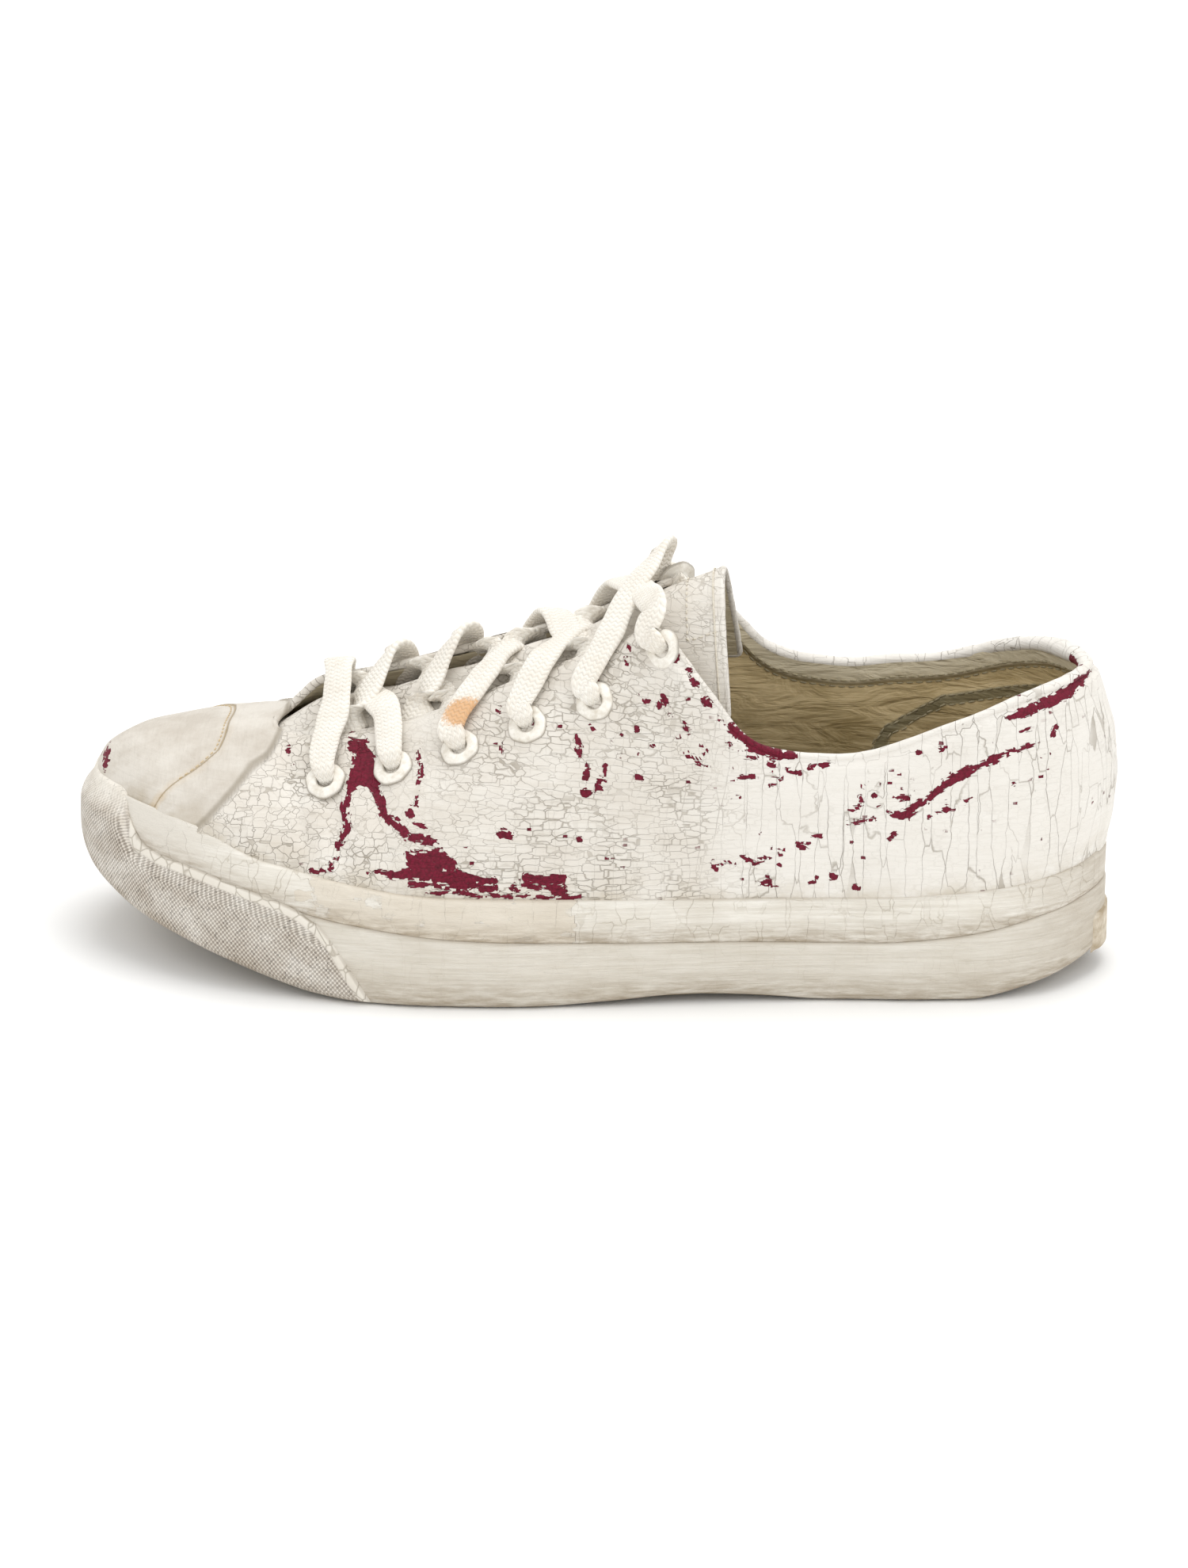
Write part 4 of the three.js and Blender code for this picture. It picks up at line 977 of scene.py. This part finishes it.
# ------------------------------
# Foxing: two calendered rubber tapes cured round the sole and the upper's margin. They were painted with
# the upper; the paint has rubbed off the outer forefoot, and the bottom edge is grimy from the ground.
def tape_thinning(x):
    """Share of its thickness that a tape loses round the toe, where it is pressed thin."""
    return 0.88 * smooth((-88 - x) / 28)


def ring_round(inner, outer, swell, line, count=460):
    """A closed ring round the shoe, `swell` of the way from form inner to form outer."""
    share = (1 - np.cos(np.linspace(0, math.pi, count))) / 2
    low, high = (
        np.concatenate([form.level(LATERAL, share, line), form.level(MEDIAL, share, line)[::-1][1:-1]])
        for form in (inner, outer))
    swell = (swell * (1 - tape_thinning(high[:, 0])))[:, None]
    return low + (high - low + unit(high - low) * 0.16 * soft_wave(*high.T, 24, 51)[:, None]) * swell


def tape(lower, upper, outer, low_edge, high_edge, steps=14):
    """Closed tape between two lines, flat inside. An edge is its rounding in mm and its thickness."""
    inner, outer = Form(0.3), Form(outer)
    height = float(upper(0.0) - lower(0.0))
    rings, across = [ring_round(inner, outer, 0.0, lower)], [0.0]
    for f in smooth(np.linspace(0, 1, steps + 1)) * 0.5 + np.linspace(0, 1, steps + 1) * 0.5:
        swell = 1.0
        for away, (rounding, thin) in ((f, low_edge), (1 - f, high_edge)):
            depth = min(1.0, away * height / rounding)
            swell = min(swell, thin + (1 - thin) * math.sqrt(1 - (1 - depth) ** 2))
        rings.append(ring_round(inner, outer, swell, lambda x: lower(x) + (upper(x) - lower(x)) * f))
        across.append(f)
    rings.append(ring_round(inner, outer, 0.0, upper))
    across.append(1.0)
    grid = np.array(rings)
    faces = grid_faces(*grid.shape[:2], wrap=True, ring=True, flip=True)
    return grid.reshape(-1, 3), faces, np.repeat(across, grid.shape[1])


def rubbed_paint_on_rubber(name, bare_from, bare_to, crazing, shade, brushing):
    """Brushed house paint on cured rubber tape: bare rubber shows warm beige between islands of paint."""
    material, node, surface, place, across = finish(name, 0.6, "across")
    spot = node("SeparateXYZ", place).outputs
    brushed = node("TexNoise", at_size(node, place, (24, 24, 0.6)), 1.0, 4.0, 0.65)
    cloudy = node("TexNoise", at_size(node, place, (17, 17, 7)), 1.0, 5.0, 0.62)
    bent = wander(node, place, (0.0016, 0.0016, 0.0012))
    crack = node("MapRange", cell_edges(node, at_size(node, bent, (6, 6, 14))), 0.0, 0.035, crazing, 0.0)
    crack = node("Math MULTIPLY", crack, node("MapRange", cloudy, 0.36, 0.6))
    paint = node("Mix RGBA", node("MapRange", cloudy, 0.3, 0.7), "#ebe7de", "#dcd6ca")
    paint = node("Mix RGBA", node("MapRange", brushed, 0.42, 0.66, shade, brushing), paint, "#b5ab99")
    paint = node("Mix RGBA", crack, paint, "#a39780")
    front = node("MapRange", spot[0], -0.118, -0.098, 0.85, 0.0)
    paint = node("Mix RGBA", front, paint, "#d8d2c7")
    rubber = node("Mix RGBA", cloudy, "#e6dfd2", "#cbc0ae")
    ahead = node("MapRange", spot[0], bare_from * MM - 0.012, bare_from * MM + 0.004)
    behind = node("MapRange", spot[0], bare_to * MM - 0.001, bare_to * MM + 0.001, 1.0, 0.0)
    outer = node("MapRange", spot[1], 0.0, 0.02, 1.0, 0.72)
    worn = node("Math MULTIPLY", node("Math MULTIPLY", ahead, behind), outer)
    flake = node("TexVoronoi", at_size(node, bent, (4.6, 4.6, 3)), 1.0, distance="CHEBYCHEV")
    hold = node("SeparateColor", flake.outputs["Color"])
    gone = node("Math MULTIPLY_ADD", hold, 0.4, node("Math MULTIPLY", cloudy, 0.5))
    gone = node("Math MULTIPLY_ADD", worn, 0.5, gone)
    gone = node("MapRange", gone, 0.74, 0.78)
    color = node("Mix RGBA", gone, paint, rubber)
    # Ground dirt climbs the bottom edge, darkest at the toe spring and the heel.
    # Painted shade darkens the top and bottom edge of each tape.
    low = node("MapRange", across, 0.0, 0.55, 0.85, 0.0)
    smear = node("TexNoise", at_size(node, place, (9, 9, 1.4)), 1.0, 4.0, 0.7)
    low = node("Math MULTIPLY", low, node("MapRange", smear, 0.36, 0.62, 0.15, 1.0))
    # Painted shade along both edges of the tape, where it meets its neighbours; faded out at the toe.
    edge = node("Math ABSOLUTE", node("Math SUBTRACT", across, 0.5))
    edge = node("MapRange", edge, 0.45, 0.5, 0.0, 0.4)
    edge = node("Math MULTIPLY", edge, node("Math SUBTRACT", 1.0, front))
    low = node("Math MAXIMUM", low, edge)
    heel = node("MapRange", spot[0], 0.118, 0.15, 0.0, 0.5)
    heel = node("Math MULTIPLY", heel, node("MapRange", smear, 0.3, 0.6, 0.4, 1.0))
    low = node("Math MAXIMUM", low, heel)
    color = node("Mix RGBA", low, color, "#94836a")
    coat(node, surface, color, (brushed, 0.4), (crack, -0.2), (gone, -0.3))
    return material


upper_tape_paint = rubbed_paint_on_rubber("rubbed paint on upper foxing tape", -72, 1, 0.5, 0.0, 0.3)
lower_tape_paint = rubbed_paint_on_rubber("brushed paint on lower foxing tape", 400, 500, 0.12, 0.3, 0.52)
points, faces, across = tape(lambda x: ground_line(x) + 0.5, band_line, 2.7, (2.6, 0.35), (0.9, 0.84))
shape("foxing_lower_tape", points, faces, "foxing_rubber", lower_tape_paint, ["foxing_lower"], across=across)
points, faces, across = tape(band_line, foxing_top, 2.4, (0.7, 0.9), (1.6, 0.4))
shape("foxing_upper_tape", points, faces, "foxing_rubber", upper_tape_paint, ["foxing_upper"], across=across)

# ------------------------------
# Toe bumper: a thick rubber patch with a knurled face, cured over the tapes. Its paint has rubbed off the
# knurling, which holds dirt, and is left as a fat cracked bead round the patch's edge.
BUMPER_EDGE = [
    (-150, 49.5), (-133, 49), (-131, 48.2), (-129.4, 46), (-128.6, 42.4), (-126.6, 38.6), (-122, 36.2),
    (-108, 34.6), (-96, 32.6), (-84, 30), (-77, 27.4), (-72, 24), (-67, 18), (-62.5, 10), (-56.5, 0.8),
]
bumper_top = curve_through(BUMPER_EDGE[:12])
BEAD, BUMPER_STAND = 3.0, 3.4


def bumper_shell(columns, rows):
    """Grid over the toe from the lateral end to the medial end, with each point's distance to the edge."""
    inner, outer = Form(-0.4), Form(4.6)
    rim = [[(x, z, 0) for x, z in BUMPER_EDGE]]
    grid, margins = [], []
    for f in np.linspace(0, 1, rows):
        line = lambda x: ground_line(x) + 0.8 + (bumper_top(x) - ground_line(x) - 0.8) * f
        end = -72 + 15.5 * (1 - f) ** 0.9
        span = (end - outer.toe) / (outer.heel - outer.toe)
        share = (1 - np.cos(np.linspace(0, math.pi / 2, columns))) * span
        low, high = (
            np.concatenate([form.level(LATERAL, share, line)[::-1], form.level(MEDIAL, share, line)[1:]])
            for form in (inner, outer))
        x, z = high[:, 0], high[:, 2]
        margin = -depth_in(rim, x, z)
        fade = smooth((-129 - x) / 8) * smooth((z - 40) / 8)
        # The patch is just prouder than the tapes at its edge, and swells to its full thickness inside.
        edge = 2.7 * (1 - tape_thinning(x)) * (1 - fade) + 0.5
        inside = np.clip(margin / 7, 0, 1)
        stand = edge + (BUMPER_STAND - edge) * smooth(inside) * (1 - 0.7 * fade)
        stand += 0.5 * np.sin(math.pi * np.clip(margin / BEAD, 0, 1)) ** 0.8 * (1 - fade)
        round_off = np.sqrt(1 - (1 - np.clip(margin / 0.8, 0, 1)) ** 2)
        under = 1 - 0.45 * (1 - np.clip((z - ground_line(x) - 0.8) / 2.2, 0, 1)) ** 2
        stand = 0.4 + stand * (0.6 + 0.4 * round_off) * under + 0.12 * soft_wave(*high.T, 20, 61) * round_off
        stand[[0, -1]] = 0
        if f in (0, 1):
            stand[:] = 0.8 * (1 - f)
        grid.append(low + (high - low) / 5.0 * stand[:, None])
        margins.append(margin + 12 * fade)
    grid = np.array(grid)
    return grid.reshape(-1, 3), grid_faces(*grid.shape[:2]), np.concatenate(margins)


def knurled_bumper():
    """Moulded knurling, about 1.3 mm to a diamond: pale worn tops, brown dirt in the grooves."""
    material, node, surface, place, margin, around, low = finish(
        "knurled bumper rubber with rubbed paint", 0.68, "margin", "around", "low")
    spot = node("SeparateXYZ", place).outputs
    turn = node("Math MULTIPLY", around, 4.83)
    climb = node("Math MULTIPLY", spot[2], 4300.0)
    one = node("Math SINE", node("Math ADD", turn, climb))
    two = node("Math SINE", node("Math SUBTRACT", turn, climb))
    knurl = node("Math ADD", one, two)
    knurl = node("MapRange", knurl, -1.2, 0.8)
    off_bead = node("MapRange", margin, BEAD - 0.5, BEAD + 0.3)
    high = node("MapRange", spot[2], 0.04, 0.049, 1.0, 0.25)
    cloudy = node("TexNoise", at_size(node, place, (13, 13, 8)), 1.0, 5.0, 0.6)
    tops = node("Mix RGBA", node("MapRange", cloudy, 0.35, 0.65), "#ece6dc", "#d0c6b8")
    grooves = node("Math SUBTRACT", 1.0, knurl)
    grooves = node("Math MULTIPLY", grooves, node("MapRange", cloudy, 0.3, 0.65, 0.45, 0.9))
    grooves = node("Math MULTIPLY", grooves, high)
    rubber = node("Mix RGBA", grooves, tops, "#85786a")
    grime = node("MapRange", low, 0.0, 6.0, 0.5, 0.0)
    grime = node("Math MULTIPLY", grime, node("MapRange", cloudy, 0.3, 0.6, 0.4, 1.0))
    rubber = node("Mix RGBA", grime, rubber, "#8a7659")
    cells = node("TexVoronoi", at_size(node, place, (4, 4, 5)), 1.0, feature="DISTANCE_TO_EDGE")
    crack = node("MapRange", cells, 0.0, 0.06, 0.6, 0.0)
    bead = node("Mix RGBA", cloudy, "#e9e4da", "#d2cabc")
    bead = node("Mix RGBA", crack, bead, "#8f8470")
    color = node("Mix RGBA", off_bead, bead, rubber)
    lip = node("MapRange", margin, 0.1, 0.9, 0.7, 0.0)
    color = node("Mix RGBA", lip, color, "#8b7f6c")
    pale = node("MapRange", spot[2], 0.042, 0.05, 0.0, 0.7)
    color = node("Mix RGBA", pale, color, "#e4ded2")
    raised = node("Math MULTIPLY", knurl, node("Math MULTIPLY", off_bead, high))
    coat(node, surface, color, (raised, 0.35), (crack, -0.2))
    return material


BUMPER_COLUMNS, BUMPER_ROWS = 150, 46
points, faces, margins = bumper_shell(BUMPER_COLUMNS, BUMPER_ROWS)
# Distance round the shoe in plan from the toe's tip, for the knurling.
bumper_run = np.array([run_along(row) for row in points[:, :2].reshape(BUMPER_ROWS, -1, 2)])
bumper_run -= bumper_run[:, bumper_run.shape[1] // 2][:, None]
shape("toe_bumper_rubber", points, faces[:, ::-1], "bumper_rubber", knurled_bumper(), ["toe_bumper"],
      margin=margins, around=bumper_run, low=points[:, 2] - ground_line(points[:, 0]))

# ------------------------------
# Heel plate: a small plain rubber plate cured over the lower tape at the back, left bare of any lettering
# and rubbed brown along its edges.
def worn_plate_rubber():
    """Bare tan rubber, rubbed matt."""
    material, node, surface, place = finish("worn tan plate rubber", 0.7)
    cloudy = node("TexNoise", at_size(node, place, (6, 6, 4)), 1.0, 5.0, 0.65)
    color = node("Mix RGBA", node("MapRange", cloudy, 0.35, 0.65), "#d5cbba", "#a6957a")
    coat(node, surface, color, (cloudy, 0.3))
    return material


PLATE_HALF_WIDE, PLATE_HALF_TALL, PLATE_MIDDLE = 11.5, 6.0, 12.5
PLATE_ROWS, PLATE_COLUMNS = 26, 50
plate_y = np.linspace(-PLATE_HALF_WIDE, PLATE_HALF_WIDE, PLATE_COLUMNS)
back_share = np.linspace(0.9, 1, 400)
plate = []
for height in np.linspace(PLATE_MIDDLE - PLATE_HALF_TALL, PLATE_MIDDLE + PLATE_HALF_TALL, PLATE_ROWS):
    round_back = []
    for form in (Form(2.4), Form(3.5)):
        lateral, medial = (form.level(side, back_share, lambda x: x * 0 + height)
                           for side in (LATERAL, MEDIAL))
        behind = np.concatenate([lateral, medial[::-1]])
        round_back.append(points_at(plate_y, behind[:, 1], behind))
    low, high = round_back
    corner = np.abs(plate_y / PLATE_HALF_WIDE) ** 6 + (abs(height - PLATE_MIDDLE) / PLATE_HALF_TALL) ** 6
    inside = np.clip((1 - corner) * 3, 0, 1)
    plate.append(low + (high - low) * np.sqrt(1 - (1 - inside) ** 2)[:, None])
plate = np.array(plate)
shape("heel_plate", plate.reshape(-1, 3), grid_faces(PLATE_ROWS, PLATE_COLUMNS, flip=True), "foxing_rubber",
      worn_plate_rubber(), ["heel_label"])

# ------------------------------
# Lace: one flat tubular cotton lace, straight across the front, then crossed up the tongue through all
# twelve eyelets. It narrows and thickens where an eyelet squeezes it, and both ends stop inside the top.
LACE_WIDE, LACE_THICK = 8.8, 2.4
OUT, IN = 1, -1


def through_eyelet(side, i, going):
    """Places, facings and sizes of the lace through one eyelet, inwards if going is IN."""
    x, y = FIRST_EYELET + EYELET_PITCH * i, EYELET_ROW[side]
    at, normal = face_point(x, y), face_normal(x, y)
    away = unit(np.array([0, side, 0]) - normal * normal[1] * side)
    steps = [
        (at - away * 7 + normal * 2.7, normal, 0.92, 1.0),
        (at - away * 2.6 + normal * 2.9, normal * 0.9 + away * 0.45, 0.74, 1.25),
        (at - away * 0.8 + normal * 0.6, away + normal * 0.2, 0.5, 1.4),
        (at - normal * 3.2 - away * 0.8, away * 0.7 - normal * 0.7, 0.6, 1.3),
        (at - normal * 3.6 - away * 4, -normal, 0.9, 1.0),
    ]
    return steps if going == IN else steps[::-1]


def over_stay(side, i, shift, level, lift):
    """Where the lace crosses the eyestay's edge, over it (OUT) or under it (IN)."""
    x = FIRST_EYELET + EYELET_PITCH * i + shift
    y = side * (float(slot_half(x)) + 0.5)
    normal = face_normal(x, y + side * 3)
    raised = 2.2 + lift if level == OUT else -WALL - 1.9
    return face_point(x, y, raised), normal * level, 1.0, 1.0


# Each run: from side and eyelet, to side and eyelet, leaving and arriving level, and how high it rides at
# its start, middle and end. The straight front run comes sixth; the last two loop loosely at the top.
RUNS = [
    (MEDIAL, 5, LATERAL, 4, OUT, OUT, (4.0, 3.5, 0.6)), (LATERAL, 4, MEDIAL, 3, IN, OUT, (0, 0.2, 0)),
    (MEDIAL, 3, LATERAL, 2, IN, OUT, (0, 1.4, 0.6)), (LATERAL, 2, MEDIAL, 1, IN, IN, (0, 0.3, 0)),
    (MEDIAL, 1, LATERAL, 0, OUT, IN, (1.4, 1.8, 0)), (LATERAL, 0, MEDIAL, 0, OUT, OUT, (0.4, 1.0, 0.6)),
    (MEDIAL, 0, LATERAL, 1, IN, OUT, (0, 0.2, 0.3)), (LATERAL, 1, MEDIAL, 2, IN, OUT, (0, 1.5, 1.2)),
    (MEDIAL, 2, LATERAL, 3, IN, IN, (0, 0.3, 0)), (LATERAL, 3, MEDIAL, 4, OUT, IN, (0.3, 0.8, 0)),
    (MEDIAL, 4, LATERAL, 5, OUT, OUT, (1.2, 1.4, 0.5)),
]
route = through_eyelet(MEDIAL, 5, OUT)
for side_a, a, side_b, b, leave, arrive, lifts in RUNS:
    shift = 3.2 * np.sign(b - a)
    start = over_stay(side_a, a, shift, leave, lifts[0])
    end = over_stay(side_b, b, -shift, arrive, lifts[2])
    middle = (start[0] + end[0]) / 2 + np.array([0, 0, lifts[1]])
    # A run keeps clear of the tongue's crown.
    crown = float(tongue_form.height_at(min(middle[0], 12), middle[1])) + TONGUE_BULGE + 1.6
    middle[2] = max(middle[2], crown)
    route += [start, (middle, np.array([-0.35, 0, 0.94]), 1.0, 1.05), end]
    route += through_eyelet(side_b, b, IN if arrive == OUT else OUT)


def even_track(values, steps):
    """Catmull-Rom through rows of values, `steps` to a span."""
    padded = np.concatenate([values[:1], values, values[-1:]])
    t = (np.arange(steps) / steps)[:, None]
    rows = []
    for p0, p1, p2, p3 in zip(padded[:-3], padded[1:-2], padded[2:-1], padded[3:]):
        rows.append(0.5 * (2 * p1 + (p2 - p0) * t + (2 * p0 - 5 * p1 + 4 * p2 - p3) * t**2
                           + (3 * p1 - p0 - 3 * p2 + p3) * t**3))
    return np.concatenate(rows + [values[-1:]])


def tubular_cotton():
    """Bleached cotton braid: soft fuzzy yarns in rows of small chevrons, greyed, with one rusty stain."""
    material, node, surface, place, run, across, stain = finish(
        "flat tubular cotton lace", 0.92, "run", "across", "stain")
    feed(surface["Sheen Weight"], 0.2)
    # Chevrons about 1.5 mm long in columns about 2 mm wide.
    slant = node("Math MULTIPLY", node("Math PINGPONG", across, 1.05), 3.4)
    yarn = node("Math SINE", node("Math MULTIPLY_ADD", run, 4.2, slant))
    column = node("Math COSINE", node("Math MULTIPLY", across, 5.98))
    weave = node("MapRange", yarn, -0.9, 0.9)
    weave = node("Math MULTIPLY", weave, node("MapRange", column, -1.0, 0.2, 0.55, 1.0))
    fuzz = node("TexNoise", at_size(node, place, (0.7, 0.7, 0.7)), 1.0, 3.0, 0.7)
    cloudy = node("TexNoise", at_size(node, place, (8, 8, 8)), 1.0, 4.0, 0.6)
    cotton = node("Mix RGBA", node("MapRange", cloudy, 0.35, 0.7), "#faf6ed", "#efe8dc")
    rust = node("Math ADD", stain, node("Math MULTIPLY_ADD", fuzz, 5.0, -2.5))
    rust = node("MapRange", rust, 0.0, 1.6, 0.0, 0.82)
    cotton = node("Mix RGBA", rust, cotton, "#dd9f57")
    gaps = node("Math MULTIPLY", node("Math SUBTRACT", 1.0, weave), 0.24)
    cotton = node("Mix RGBA", gaps, cotton, "#ab9e87")
    coat(node, surface, cotton, (weave, 0.25), (fuzz, 0.15))
    return material


LACE_SIDES = 20
track = even_track(np.array([[*at, *unit(facing), wide, thick] for at, facing, wide, thick in route]), 12)
centre, facing, sizes = track[:, :3], unit(track[:, 3:6]), track[:, 6:]
lace_run = run_along(centre)
centre = centre + 0.35 * np.stack([np.sin(lace_run / 5.1), 0 * lace_run, 0.6 * np.sin(lace_run / 3.7 + 1)], 1)
sizes = sizes * (1 + 0.05 * np.sin(lace_run / 4.3)[:, None] + 0.03 * np.sin(lace_run / 1.9)[:, None])
around = np.linspace(0, 2 * math.pi, LACE_SIDES, endpoint=False)
section = np.stack([np.cos(around), np.sin(around)], 1)
section = np.sign(section) * np.abs(section) ** [0.75, 0.7]
profile = section[None] * (sizes * [LACE_WIDE / 2, LACE_THICK / 2])[:, None]
points, faces = sweep(centre, facing, profile)
rusty_spot = face_point(FIRST_EYELET + EYELET_PITCH * 2 + 0.6, EYELET_ROW[LATERAL] + 5.6, 3.0)
stain = 5.2 - np.linalg.norm((points - rusty_spot) * [0.7, 0.9, 0.9], axis=1)
shape("lace_strip", points, faces, "lace_cotton", tubular_cotton(), ["laces"],
      run=np.repeat(lace_run, LACE_SIDES), across=np.tile(section[:, 0] * LACE_WIDE / 2, len(centre)),
      stain=stain)

# ------------------------------
# Studio: white paper floor in a bright room, one large soft light ahead of the toe and one from the heel
# side, and a long lens looking a little down and a little round to the heel.
sheet = bpy.data.meshes.new("floor")
sheet.from_pydata([(-6, -6, 0), (6, -6, 0), (6, 6, 0), (-6, 6, 0)], [], [(0, 1, 2, 3)])
floor = bpy.data.objects.new("floor", sheet)
bpy.context.collection.objects.link(floor)
paper, _, surface, _ = finish("matt white paper", 0.9)
feed(surface["Base Color"], "#fbfbfa")
sheet.materials.append(paper)

room = bpy.data.worlds.new("white room")
room.use_nodes = True
sky = room.node_tree.nodes["Background"].inputs
feed(sky["Color"], "#ffffff")
feed(sky["Strength"], 0.87)
bpy.context.scene.world = room
bpy.context.scene.view_settings.view_transform = "Standard"
for name, place, size, watts in (("key", (-0.7, -1.0, 1.1), 0.9, 3), ("heel_side", (1.0, -0.6, 0.8), 0.8, 3),
                                 ("top", (0.1, 0.4, 1.5), 1.2, 11)):
    light = bpy.data.lights.new(name, "AREA")
    light.size = size
    light.energy = watts
    lamp = bpy.data.objects.new(name, light)
    lamp.location = place
    lamp.rotation_euler = (Vector((0, 0, 0.04)) - Vector(place)).to_track_quat("-Z", "Y").to_euler()
    bpy.context.collection.objects.link(lamp)

azimuth, elevation, distance, field = math.radians(5), math.radians(22), 1.8, 0.344
toward = Vector((math.sin(azimuth) * math.cos(elevation), -math.cos(azimuth) * math.cos(elevation),
                 math.sin(elevation)))
right = Vector((math.cos(azimuth), math.sin(azimuth), 0))
camera = bpy.data.objects.new("camera", bpy.data.cameras.new("camera"))
camera.data.sensor_fit = "HORIZONTAL"
camera.data.sensor_width = 36
camera.data.lens = 36 * distance / field
camera.location = right * 0.0021 + toward.cross(right) * 0.0453 + toward * distance
camera.rotation_euler = toward.to_track_quat("Z", "Y").to_euler()
bpy.context.collection.objects.link(camera)
bpy.context.scene.camera = camera
